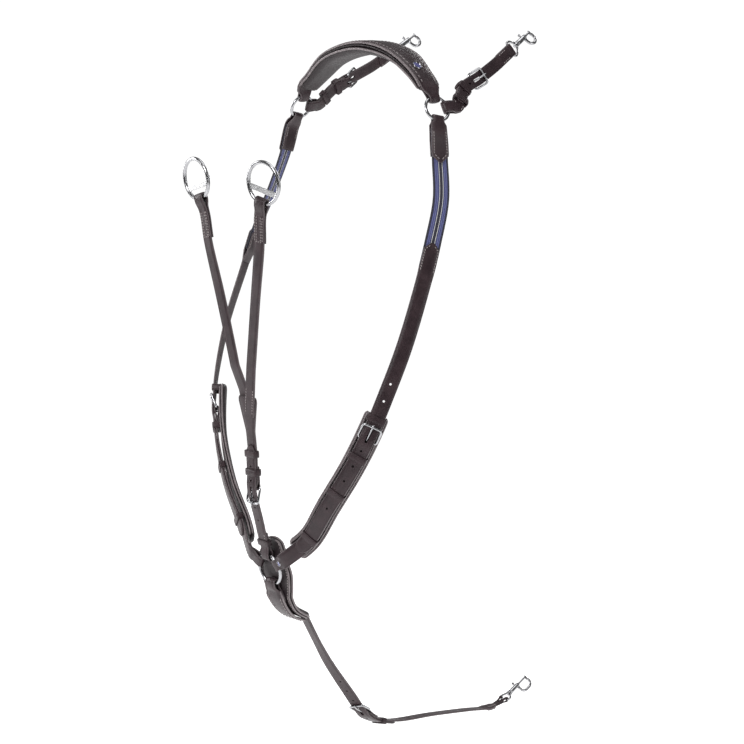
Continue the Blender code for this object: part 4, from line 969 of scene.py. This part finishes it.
# ------------------------------------------------------------------ pads
def pad_shape(stations, half_at, low_at, top_at, crown, across):
    """A stuffed form: full in the middle, thin at its two rolled edges."""
    loops = []
    for s in stations:
        half, low, top = half_at(s), low_at(s), top_at(s)
        waist = 0.5 * (low + top)
        top_row, low_row = [], []
        for y in np.linspace(-1, 1, across):
            share = math.sqrt(max(0.0, 1 - abs(y) ** 5))
            full = 1 - abs(y) ** 2.2
            high = waist + (top - waist) * share + crown * (full - 1) * 0.5
            deep = waist + (low - waist) * share
            top_row.append((s, y * half, max(high, waist + LEAST_HALF)))
            low_row.append((s, y * half, min(deep, waist - LEAST_HALF)))
        loops.append(top_row + low_row[::-1])
    return grid(np.array(loops))


def swollen(item, cap):
    """Fill the pad by a short cloth simulation, each point moving no more than the cap."""
    mesh = item.data
    rest = np.empty(len(mesh.vertices) * 3)
    mesh.vertices.foreach_get("co", rest)
    mesh.vertices.foreach_set("co", rest * CLOTH_SCALE)
    cloth = item.modifiers.new("fill", "CLOTH")
    settings = cloth.settings
    settings.use_pressure = True
    settings.uniform_pressure_force = 4.0
    settings.tension_stiffness = 12
    settings.compression_stiffness = 12
    settings.bending_stiffness = 1.5
    settings.effector_weights.gravity = 0
    scene = bpy.context.scene
    cloth.point_cache.frame_start, cloth.point_cache.frame_end = 1, CLOTH_FRAMES
    for step in range(1, CLOTH_FRAMES + 1):
        scene.frame_set(step)
    graph = bpy.context.evaluated_depsgraph_get()
    moved = np.empty(len(rest))
    item.evaluated_get(graph).data.vertices.foreach_get("co", moved)
    item.modifiers.clear()
    scene.frame_set(1)
    step = (moved / CLOTH_SCALE - rest).reshape(-1, 3)
    step[~np.isfinite(step).all(axis=1)] = 0
    size = np.linalg.norm(step, axis=1)
    step *= (np.minimum(size, cap) / np.maximum(size, 1e-9))[:, None]
    mesh.vertices.foreach_set("co", rest + step.ravel())


def cushion(name, node, route, ends, half_at, low_at, top_at, crown, across, cap, rim=0.0015, shift=0.0):
    """A padded piece along the route, filled by the simulation and rounded off."""
    start, stop = ends
    stations = np.linspace(start, stop, int((stop - start) / STATION))
    pad = mesh_object(name, pad_shape(stations, half_at, low_at, top_at, crown, across))
    pad.data.transform(Matrix.Translation((0, shift, 0)))
    swollen(pad, cap)
    modifier = pad.modifiers.new("round", "SUBSURF")
    modifier.levels = modifier.render_levels = 1
    applied(pad)
    finish_piece(pad, SOFT_LOOK, "neck", "padding", [node], route,
                 half_at=lambda s: 2 * half_at(s), edge=rim, angle=70)


# ------------------------------------------------------------------ wither piece
def dress_wither():
    route = wither_route()
    length = route.length
    middle = float(route.reach[np.argmin(np.abs(route.line[:, 0]))])
    slack = ring_slack(WITHER_RING, WITHER_WIRE, RING_LOOP)
    end = turned(WITHER_RING, DOUBLE / 2, WITHER_WIRE, 0, DOUBLE, 0.010, 0.024, slack)
    far = mirrored(end, length / 2)[::-1]
    rows = end[::-1] + straight(WITHER_RING + 0.010, length - WITHER_RING - 0.010, 0, LEATHER) + far
    inward = width_line((0.017, RING_LOOP), (0.022, 0.020), (0.027, 0.0245), (0.045, 0.031),
                        (0.085, 0.0405))

    def top_width(s):
        return inward(min(s, length - s))

    strap("wither_top", "wither_strap", "neck", route, rows, top_width, crown=0.0011, crease=0.0026)
    top = DOUBLE - SKIVED / 2 - 2 * GAP
    start, stop = WITHER_RING + 0.012, length - WITHER_RING - 0.012

    def share(s):
        return min(1, max(0, min(s - start, stop - s) / (middle - start)))

    def half(s):
        return 0.0110 + 0.0140 * math.sin(0.5 * math.pi * share(s) ** 0.6)

    def low(s):
        return -(0.0080 + (WITHER_TOP - 0.0086) * min(1, share(s) / 0.8) ** 0.8)

    cushion("wither_cushion", "wither_pad", route, (start, stop), half, low, lambda s: top - 0.0002,
            0.0012, 13, 0.0010)
    places = np.linspace(start + 0.004, stop - 0.004, 110)
    for sign, label in ((1, "front"), (-1, "back")):
        piping("wither_edge_" + label, route, places, lambda s: sign * (top_width(s) / 2 + 0.0004),
               lambda s: -0.0009, 0.0013)
        piping("wither_roll_" + label, route, places,
               lambda s: sign * (min(half(s), top_width(s) / 2 + 0.0022) - 0.0006),
               lambda s: top - 0.0004, 0.0012, SOFT_LOOK)
        piping("wither_welt_" + label, route, places, lambda s: sign * (half(s) + 0.0003),
               lambda s: 0.55 * (top + low(s)) + 0.0016, 0.0012)
    threads("wither_threads", edge_seam(np.linspace(start + 0.006, stop - 0.006, 40),
                                        lambda s: top_width(s) / 2 - 0.0042,
                                        lambda s: LEATHER / 2 + 0.0002), "neck", route)
    dress_badge("wither_badge", 0.0063, route, (0.060, 0.0030, LEATHER / 2 + 0.0008), ["wither_badge"])


def dress_badge(name, radius, route, at, nodes=()):
    """Round badge lying on a strap at flat coordinates."""
    _, tangent, side, _ = route.frame(at[0])
    place = basis(tangent, side, route.wrap(at)) @ Matrix.Rotation(math.radians(-90), 4, "Y")
    r = radius
    rim = lathe(rounded([(0, r * 0.5), (0, r), (0.0011, r), (0.0017, r * 0.93), (0.0017, r * 0.85),
                         (0.0010, r * 0.79), (0.0010, r * 0.5)], 0.00025), 48)
    metal(name + "_rim", rim, "neck", place=place)
    dome = [(0.0009 + 0.0008 * math.cos(a), r * 0.78 * math.sin(a))
            for a in np.linspace(math.pi / 2, 0.06, 9)]
    piece(name + "_enamel", lathe([(0.0007, r * 0.3), (0.0007, r * 0.79)] + dome, 40), "neck", "badge",
          nodes, place=place, angle=60)


# ------------------------------------------------------------------ neck straps
def dress_elastic(tag, route, cover, lower_end):
    """The sewn cap on the wither ring and the woven band under it."""
    slack = ring_slack(WITHER_RING, WITHER_WIRE, RING_LOOP)
    chape_end = 0.067
    rows = straight(chape_end, WITHER_RING + 0.010, cover, TURN)[:-1]
    rows += turned(WITHER_RING, 0, WITHER_WIRE, cover, -cover, 0.007, 0.044, slack, TURN, TURN)
    wide = width_line((0.0175, RING_LOOP), (0.0215, 0.0205), (0.040, 0.0216),
                      (chape_end - 0.008, 0.0212), (chape_end, 0.0030))
    strap("elastic_cap" + tag, "elastic_chape" + tag, "neck", route, rows, wide)
    out = cover + TURN / 2
    seams = []
    for side in (0.0080, -0.0080):
        seams += [(0.030, side, 0.0565, side, out), (0.030, side, 0.043, side, -out),
                  (0.0570, side * 0.95, 0.0635, side * 0.175, out)]
    threads("elastic_cap_threads" + tag, seams, "neck", route)
    weave = band(straight(WITHER_RING + 0.012, lower_end - 0.008, 0, ELASTIC), lambda s: NARROW + 0.004,
                 crown=0.0002, groove=0.0001)
    piece("elastic_web" + tag, weave, "neck", "elastic", ["elastic" + tag], route)


def dress_side(side):
    route = side_route(side)
    tag = "_" + side
    cover = ELASTIC / 2 + 3 * GAP + TURN / 2
    start, end = route.at_height(-0.217), route.at_height(-0.253)
    dress_elastic(tag, route, cover, end)

    buckle, tail = route.at_height(-0.439), route.at_height(-0.578)
    rows = straight(start, end - 0.006, cover, TURN)
    rows.append((end + 0.002, cover / 2, (TURN + LEATHER) / 2))
    rows += billet_rows(end + 0.008, buckle, tail)
    wide = width_line((start, 0.0045), (start + 0.007, STRAP), (tail - 0.010, STRAP),
                      (tail - 0.004, STRAP * 0.8), (tail, STRAP * 0.42))
    back_rows = straight(start + 0.002, end - 0.007, -cover, TURN)
    back_rows += [(end, -cover / 2, TURN), (end + 0.008, -0.0003, TURN)]
    back = band(back_rows, width_line((start + 0.002, 0.006), (start + 0.009, STRAP - 0.0002)))
    strap("shoulder_billet" + tag, "shoulder_strap" + tag, "neck", route, rows, wide,
          billet_cuts(buckle, 0.021, (-3, -2, -1, 1, 2, 3, 4, 5), tail - 0.014), [back])
    out = cover + TURN / 2
    seams = []
    for sign in (1, -1):
        seams += [(start + 0.008, sign * 0.0078, end - 0.004, sign * 0.0078, out),
                  (start + 0.003, sign * 0.0026, start + 0.008, sign * 0.0074, out),
                  (start + 0.010, sign * 0.0078, end - 0.009, sign * 0.0078, -out)]
    threads("shoulder_threads" + tag, seams, "neck", route)

    ring_at = route.length - CHEST_RING
    slack = ring_slack(CHEST_RING, CHEST_WIRE, RING_LOOP)
    rows = buckle_rows(buckle, 0.028) + straight(buckle + 0.010, ring_at - 0.012, CHAPE, LEATHER)
    rows += ring_rows(ring_at, (CHAPE + FOLD) / 2, CHEST_WIRE, CHAPE, FOLD, 0.012, 0.026, slack)
    wide = with_eyes(width_line((ring_at - 0.014, STRAP), (ring_at - 0.004, RING_LOOP)), buckle,
                     STRAP - EYE_INSET)
    strap("lower_billet" + tag, "lower_strap" + tag, "neck", route, rows, wide, [chape_slot(buckle)])
    for number, z in (("1", -0.505), ("2", -0.563)):
        add_keeper("fixed_keeper_" + number + tag, route.at_height(z), STRAP, UNDER_CHAPE, "neck", route)
    add_keeper("loose_keeper" + tag, route.at_height(-0.459), STRAP, UNDER_FOLD, "neck", route,
               ["shoulder_keeper" + tag])

    pad_top = HEEL - BUCKLE_WIRE - GAP - TURN - 3 * GAP
    top, bottom = buckle - 0.034, route.at_height(-0.585)
    shift = -0.0012

    def half(s):
        return 0.0134 - 0.0060 * max(0, 1 - min(s - top, bottom - s) / 0.007) ** 2

    cushion("lower_cushion" + tag, "lower_pad" + tag, route, (top, bottom), half,
            lambda s: pad_top - 0.0058, lambda s: pad_top - 0.0002, 0.0016, 9, 0.0007, shift=shift)
    places = np.linspace(top + 0.003, bottom - 0.003, 90)
    for sign, label in ((1, "back"), (-1, "front")):
        piping("lower_edge_" + label + tag, route, places, lambda s: sign * (half(s) - 0.0018) + shift,
               lambda s: pad_top + 0.0002, 0.0011)
        piping("lower_welt_" + label + tag, route, places, lambda s: sign * (half(s) + 0.0003) + shift,
               lambda s: pad_top - 0.0028, 0.0011)
    add_keeper("buckle_keeper" + tag, buckle - 0.027, STRAP, pad_top + 0.0006, "neck", route)
    add_buckle("shoulder", tag, route, buckle, STRAP, "neck")
    if side == "l":
        dress_badge("chest_badge", 0.0034, route, (ring_at - 0.0085, 0, CHAPE + LEATHER / 2 + 0.0002))


# ------------------------------------------------------------------ saddle straps
def dress_saddle(side):
    tag = "_" + side
    centre, _, up, back = wither_frame(side)
    ring, name = "wither_ring" + tag, "saddle_strap" + tag
    metal(ring + "_plated", ring_shape(WITHER_RING, WITHER_WIRE), ring, [ring], basis(up, back, centre))
    route = saddle_route(side)
    ring_at = route.length - WITHER_RING
    slack = ring_slack(WITHER_RING, WITHER_WIRE, RING_LOOP)
    buckle = ring_at - 0.068
    rows = buckle_rows(buckle, 0.024) + straight(buckle + 0.010, ring_at - 0.012, CHAPE, LEATHER)
    rows += ring_rows(ring_at, (CHAPE + FOLD) / 2, WITHER_WIRE + RING_PLAY, CHAPE, FOLD, 0.012, 0.020,
                      slack)
    wide = with_eyes(width_line((ring_at - 0.014, NARROW), (ring_at - 0.004, RING_LOOP)), buckle,
                     NARROW - EYE_INSET)
    strap("saddle_return" + tag, "saddle_chape" + tag, name, route, rows, wide, [chape_slot(buckle)])
    add_keeper("saddle_fixed_keeper" + tag, ring_at - 0.026, NARROW, UNDER_CHAPE, name, route)
    add_keeper("saddle_loose_keeper" + tag, buckle + 0.020, NARROW, UNDER_FOLD, name, route,
               ["saddle_keeper" + tag])
    tail = ring_at - 0.022
    rows = turned(0, DOUBLE / 2, BUCKLE_WIRE, 0, DOUBLE, 0.009, 0.026)[::-1]
    rows += billet_rows(0.020, buckle, tail)
    wide = with_eyes(width_line((tail - 0.008, NARROW), (tail, NARROW * TIP)), 0, NARROW - 0.0006)
    strap("saddle_end" + tag, "saddle_billet" + tag, name, route, rows, wide,
          billet_cuts(buckle, 0.017, (1, 2), tail - 0.010))
    seams = row_pair(0.010, 0.025, SEAM_HALF, LEATHER / 2)
    seams += row_pair(0.010, 0.025, SEAM_HALF, DOUBLE - SKIVED / 2)
    seams += row_pair(ring_at - 0.020, ring_at - 0.013, SEAM_HALF, CHAPE + LEATHER / 2)
    threads("saddle_threads" + tag, seams, name, route)
    add_buckle("saddle", tag, route, buckle, NARROW, name)
    _, tangent, across, _ = route.frame(0)
    add_snap("saddle", tag, route.wrap((0, 0, DOUBLE / 2)), -tangent, across, (0.48, 0.36, -0.62), NARROW)


# ------------------------------------------------------------------ chest
def dress_chest():
    route = chest_route()
    length = route.length
    outline = width_line((0, 0.008), (0.03, 0.014), (0.08, 0.0190), (0.18, 0.0255), (0.34, 0.0288),
                         (0.55, 0.0228), (0.8, 0.0166), (0.93, 0.0140), (1.0, 0.0080))

    def half(s):
        return outline(s / length)

    cushion("chest_cushion", "chest_pad", route, (0, length), half, lambda s: -0.0078,
            lambda s: -0.0003, 0.0020, 13, 0.0009, rim=0.0018)
    # The edge and welt piping is in the lighter rolled edge leather: a painted highlight.
    for name, inset, height in (("chest_edge", 0.0026, -0.0009), ("chest_welt", 0.0, -0.0036)):
        rows = []
        reach = length / 2 - inset - 0.0005
        for a in np.radians(np.linspace(0, 360, 150, endpoint=False)):
            s = length / 2 - reach * math.cos(a)
            side = np.sign(math.sin(a)) * min(1, abs(math.sin(a)) * 3.2) ** 0.6
            rows.append((s, (half(s) - inset) * side, height))
        rows = np.array(rows)
        for _ in range(2):
            rows = 0.25 * np.roll(rows, 1, 0) + 0.5 * rows + 0.25 * np.roll(rows, -1, 0)
        piece(name, tube(rows, 0.0011, (0, 0, 1), closed=True), "neck", "leather", (), route,
              look=ROLL_HIGHLIGHT_LOOK, angle=60)
    threads("chest_threads", edge_seam(np.linspace(0.006, length - 0.008, 34),
                                       lambda s: half(s) - 0.0052, lambda s: -0.0006), "neck", route)

    centre, _, up, left = chest_frame()
    metal("chest_ring_plated", ring_shape(CHEST_RING, CHEST_WIRE), "neck", ["chest_ring"],
          basis(left, up, centre))
    slack = ring_slack(CHEST_RING, CHEST_WIRE, RING_LOOP + 0.002)
    fold = SKIVED / 2 + 3 * GAP
    main = fold + SKIVED / 2 + 2 * GAP + LEATHER / 2
    bar = route.reach[CHEST_RING_SAMPLE] + CHEST_RING
    rows = turned(bar, CHEST_RING_OUT, CHEST_WIRE, main, fold, 0.014, 0.022, slack)[::-1]
    rows += straight(bar + 0.014, length - 0.026, main, LEATHER)
    rows += [(length - 0.012, main * 0.72, LEATHER), (length - 0.002, main * 0.30, LEATHER * 0.8)]
    wide = width_line((bar + 0.004, RING_LOOP + 0.002), (bar + 0.016, 0.030), (length - 0.020, 0.024),
                      (length - 0.008, 0.018), (length - 0.004, 0.012))
    strap("chest_tab", "chest_flap", "neck", route, rows, wide, crown=0.0008, crease=0.0022)
    lie = width_line((length - 0.026, main), (length - 0.012, main * 0.72), (length - 0.002, main * 0.30))
    threads("chest_tab_threads", edge_seam(np.linspace(bar + 0.016, length - 0.010, 12),
                                           lambda s: wide(s) / 2 - 0.0036,
                                           lambda s: lie(s) + LEATHER / 2 + 0.0003), "neck", route)
    places = np.linspace(bar + 0.010, length - 0.004, 40)
    for sign, label in ((1, "l"), (-1, "r")):
        piping("chest_tab_edge_" + label, route, places, lambda s: sign * (wide(s) / 2 - 0.0002), lie,
               0.0012)


# ------------------------------------------------------------------ martingale
def dress_martingale():
    route = martingale_route()
    name, loop = "martingale", RING_LOOP - 0.001
    start = CHEST_RING
    slack = ring_slack(CHEST_RING, CHEST_WIRE, loop)
    buckle, tail = route.at_height(-0.507), route.at_height(-0.456)
    rows = turned(start, DOUBLE / 2, CHEST_WIRE + RING_PLAY, 0, DOUBLE, 0.012, 0.030, slack)[::-1]
    rows += billet_rows(start + 0.020, buckle, tail)
    wide = width_line((start + 0.011, loop), (start + 0.014, NARROW), (tail - 0.008, NARROW),
                      (tail, NARROW * TIP))
    strap("martingale_end", "martingale_billet", name, route, rows, wide,
          billet_cuts(buckle, 0.017, (-2, -1, 1, 2)))
    top = route.at_height(-0.398)
    rows = buckle_rows(buckle, 0.026) + straight(buckle + 0.010, top, CHAPE, LEATHER)
    wide = with_eyes(width_line((top - 0.042, NARROW), (top - 0.004, 0.033), (top, 0.029)), buckle,
                     NARROW - EYE_INSET)
    strap("martingale_gusset", "martingale_fork", name, route, rows, wide, [chape_slot(buckle)])
    add_keeper("martingale_fixed_keeper", route.at_height(-0.467), NARROW, UNDER_CHAPE, name, route)
    add_keeper("martingale_loose_keeper", route.at_height(-0.489), NARROW, UNDER_FOLD, name, route,
               ["martingale_keeper"])
    add_keeper("martingale_loop_keeper", start + 0.017, NARROW, DOUBLE - SKIVED / 2, name, route,
               length=0.0075)
    seams = row_pair(start + 0.022, start + 0.029, SEAM_HALF, LEATHER / 2)
    seams += [(top - 0.040, sign * 0.0058, top - 0.006, sign * 0.0132, UNDER_CHAPE) for sign in (1, -1)]
    threads("martingale_threads", seams, name, route)
    add_buckle("martingale", "", route, buckle, NARROW, name)
    for side in SIGN:
        dress_arm(side)
        dress_rein_ring(side)


def dress_arm(side):
    tag, sign = "_" + side, SIGN[side]
    route = arm_route(side)
    layer = CHAPE + sign * (LEATHER + GAP)
    main, fold = 0.0012, -0.0015
    ring_at = route.length - REIN_RING
    slack = ring_slack(REIN_RING, REIN_WIRE, NARROW)
    rows = straight(0, 0.030, layer, LEATHER) + straight(0.060, ring_at - 0.014, main, LEATHER)
    rows += ring_rows(ring_at, 0, REIN_WIRE + RING_PLAY, main, fold, 0.012, 0.046, slack)
    wide = width_line((0, NARROW - 0.003), (0.003, NARROW))
    strap("arm_strap" + tag, "martingale_arm" + tag, "martingale", route, rows, wide)
    seams = []
    for y in (0.0058, 0.0032):
        for h in (main + LEATHER / 2, fold - SKIVED / 2):
            seams += row_pair(ring_at - 0.044, ring_at - 0.015, y, h)
    seams.append((ring_at - 0.0445, -0.0050, ring_at - 0.0445, 0.0050, main + LEATHER / 2))
    seams += row_pair(0.004, 0.034, 0.0058, layer + sign * LEATHER / 2)
    threads("arm_threads" + tag, seams, "martingale", route)


def dress_rein_ring(side):
    """Ring with a crossbar, and its hinged gate."""
    centre, normal, up = rein_frame(side)
    ring, gate = "rein_ring_" + side, "ring_gate_" + side
    place = basis(np.cross(up, normal), up, centre)
    low, high = GATE_ANGLES[side]
    edge = math.degrees(GAP / REIN_RING)
    metal(ring + "_plated", ring_shape(REIN_RING, REIN_WIRE, high + edge, low + 360 - edge, count=80),
          ring, [ring], place)
    bar_y = -0.0085
    half = math.sqrt(REIN_RING**2 - bar_y**2)
    metal(ring + "_crossbar", bar_shape(half - 0.0004, 0.0030, 0.0011), ring,
          place=place @ Matrix.Translation((0, bar_y, 0)), look=PLATE_LOOK)
    metal(gate + "_plated", ring_shape(REIN_RING, REIN_WIRE, low + edge, high - edge, count=20), gate,
          [gate], place)
    collars = [ring_shape(REIN_RING, REIN_WIRE * 1.07, a, b, count=5)
               for a, b in ((low - 4.2, low - edge), (high + edge, high + 4.2))]
    metal(ring + "_collars", merged(*collars), ring, place=place, look=CHROME_LOOK)
    hinge = math.radians(high - 4 if side == "l" else low + 4)
    pin = lathe(rounded([(-0.0027, 0.0002), (-0.0027, 0.0008), (0.0027, 0.0008), (0.0027, 0.0002)],
                        0.0002), 16)
    spot = Matrix.Translation((REIN_RING * math.cos(hinge), REIN_RING * math.sin(hinge), 0))
    metal(gate + "_rivet", pin, gate, place=place @ spot @ Matrix.Rotation(math.radians(90), 4, "Y"),
          look=CHROME_LOOK)


# ------------------------------------------------------------------ girth strap
def dress_girth():
    route = girth_route()
    name = "girth_strap"
    buckle = route.at_height(-0.832)
    tail = buckle + 0.062
    rows = straight(-0.012, 0.022, 0, LEATHER)[:-1] + billet_rows(0.022, buckle, tail)
    wide = width_line((tail - 0.008, NARROW), (tail, NARROW * TIP))
    end = strap("girth_end", "girth_billet", None, route, rows, wide,
                billet_cuts(buckle, 0.019, (-3, -2, -1, 1, 2, 3), tail - 0.010))
    tuple(route.wrap((-0.004, 0, 0)))
    tuple(route.wrap((0.012, 0, 0)))
    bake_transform(end)
    wedge, stop = route.length - 0.046, route.length - 0.020
    rows = buckle_rows(buckle, 0.024) + straight(buckle + 0.010, wedge, CHAPE, LEATHER)
    rows += [(wedge + 0.006, CHAPE, 0.0050), (stop - 0.004, CHAPE, 0.0050), (stop, CHAPE, 0.0036)]
    wide = with_eyes(width_line((wedge, NARROW), (wedge + 0.008, 0.018), (stop - 0.006, 0.015),
                                (stop, 0.009)), buckle, NARROW - EYE_INSET)
    strap("girth_tail", "girth_strap", name, route, rows, wide, [chape_slot(buckle)])
    add_keeper("girth_loose_keeper", buckle + 0.036, NARROW, UNDER_CHAPE, name, route, ["girth_keeper"])
    add_buckle("girth", "", route, buckle, NARROW, name)
    seams = []
    for h in (CHAPE + 0.0025, CHAPE - 0.0025):
        seams += row_pair(wedge + 0.006, stop - 0.004, 0.0055, h)
    threads("girth_threads", seams, name, route)
    bar, lift, lace = route.length, 0.0011, 0.0014
    for number, sign in (("1", 1), ("2", -1)):
        rows = [(bar - 0.022, CHAPE + lift, lace)]
        rows += ring_rows(bar, CHAPE, BUCKLE_WIRE, CHAPE + lift, CHAPE - lift, 0.007, 0.022, 0.0, lace, lace)
        verts, faces = band(rows, lambda s: 0.0032, crease=0.0006, groove=0.0001)
        verts[:, 1] += sign * (0.0050 + 0.14 * (verts[:, 0] - bar))
        piece("girth_lace_" + number, (verts, faces), name, "leather", route=route)
    _, tangent, across, _ = route.frame(bar)
    add_snap("girth", "", route.wrap((bar, 0, CHAPE)), tangent + np.array((0, 0, 0.25)), across,
             (0.45, 0.30, -0.5), 0.014, 0.006)


# ------------------------------------------------------------------ studio
def add_light(name, place, target, size, power):
    light = bpy.data.lights.new(name, "AREA")
    light.shape, light.size, light.size_y = "RECTANGLE", size[0], size[1]
    light.energy = power
    item = bpy.data.objects.new(name, light)
    bpy.context.scene.collection.objects.link(item)
    item.location = place
    item.rotation_euler = (Vector(target) - Vector(place)).to_track_quat("-Z", "Y").to_euler()


def add_studio():
    world = bpy.data.worlds.new("studio")
    bpy.context.scene.world = world
    world.use_nodes = True
    n = Nodes(world.node_tree)
    shader = world.node_tree.nodes["Background"]
    split = n.add("ShaderNodeSeparateXYZ", {0: n.place("Generated")})
    height = n.math("MULTIPLY_ADD", split.outputs[2], 0.5, 0.5)
    glow = n.ramp(height, [(0.0, 0.22), (0.38, 0.16), (0.46, 0.03), (0.54, 0.06), (0.60, 0.34),
                           (0.70, 0.07), (0.85, 0.22), (1.0, 0.34)])
    seen = n.add("ShaderNodeLightPath", {}).outputs["Is Camera Ray"]
    n.fill(shader, {"Color": n.mix(seen, glow, (1.1, 1.1, 1.1)), "Strength": 0.95})
    bpy.context.scene.view_settings.view_transform = "Standard"
    middle = (0, -0.05, -0.42)
    add_light("key", (0.6, -2.6, 1.2), middle, (1.2, 1.0), 44)
    add_light("fill", (2.5, 0.5, 0.1), middle, (0.8, 1.6), 12)
    add_light("left", (-2.2, -1.2, 0.3), middle, (0.7, 1.8), 34)
    add_light("top", (0.0, 0.2, 2.2), middle, (1.6, 1.6), 20)
    add_light("rear", (-0.8, 2.4, 0.6), middle, (1.2, 1.0), 22)

    floor, n, shader = new_material("pale floor")
    cloud = n.noise(n.place(), 3.0, 3.0)
    n.fill(shader, {"Base Color": n.mix(cloud, (0.90, 0.90, 0.90), (0.93, 0.93, 0.93)), "Roughness": 0.7,
                    "Emission Color": (1, 1, 1, 1), "Emission Strength": 0.62})
    bm = bmesh.new()
    bmesh.ops.create_circle(bm, cap_ends=True, segments=96, radius=2.6)
    mesh = bpy.data.meshes.new("floor")
    bm.to_mesh(mesh)
    bm.free()
    mesh.materials.append(floor)
    item = bpy.data.objects.new("floor", mesh)
    item.location = (0, 0, -1.06)
    bpy.context.scene.collection.objects.link(item)


def add_camera():
    target = Vector((0, 0, -0.391))
    lens = bpy.data.cameras.new("camera")
    lens.lens, lens.sensor_width = 86.3, 36
    lens.clip_start = 0.05
    item = bpy.data.objects.new("camera", lens)
    bpy.context.scene.collection.objects.link(item)
    item.location = target + 2.23 * Vector((0.7099, -0.6855, 0.1616))
    item.rotation_euler = (target - item.location).to_track_quat("-Z", "Y").to_euler()
    bpy.context.scene.camera = item


dress_wither()
for which in SIGN:
    dress_side(which)
    dress_saddle(which)
dress_chest()
dress_martingale()
dress_girth()
add_studio()
add_camera()
bpy.context.view_layer.update()
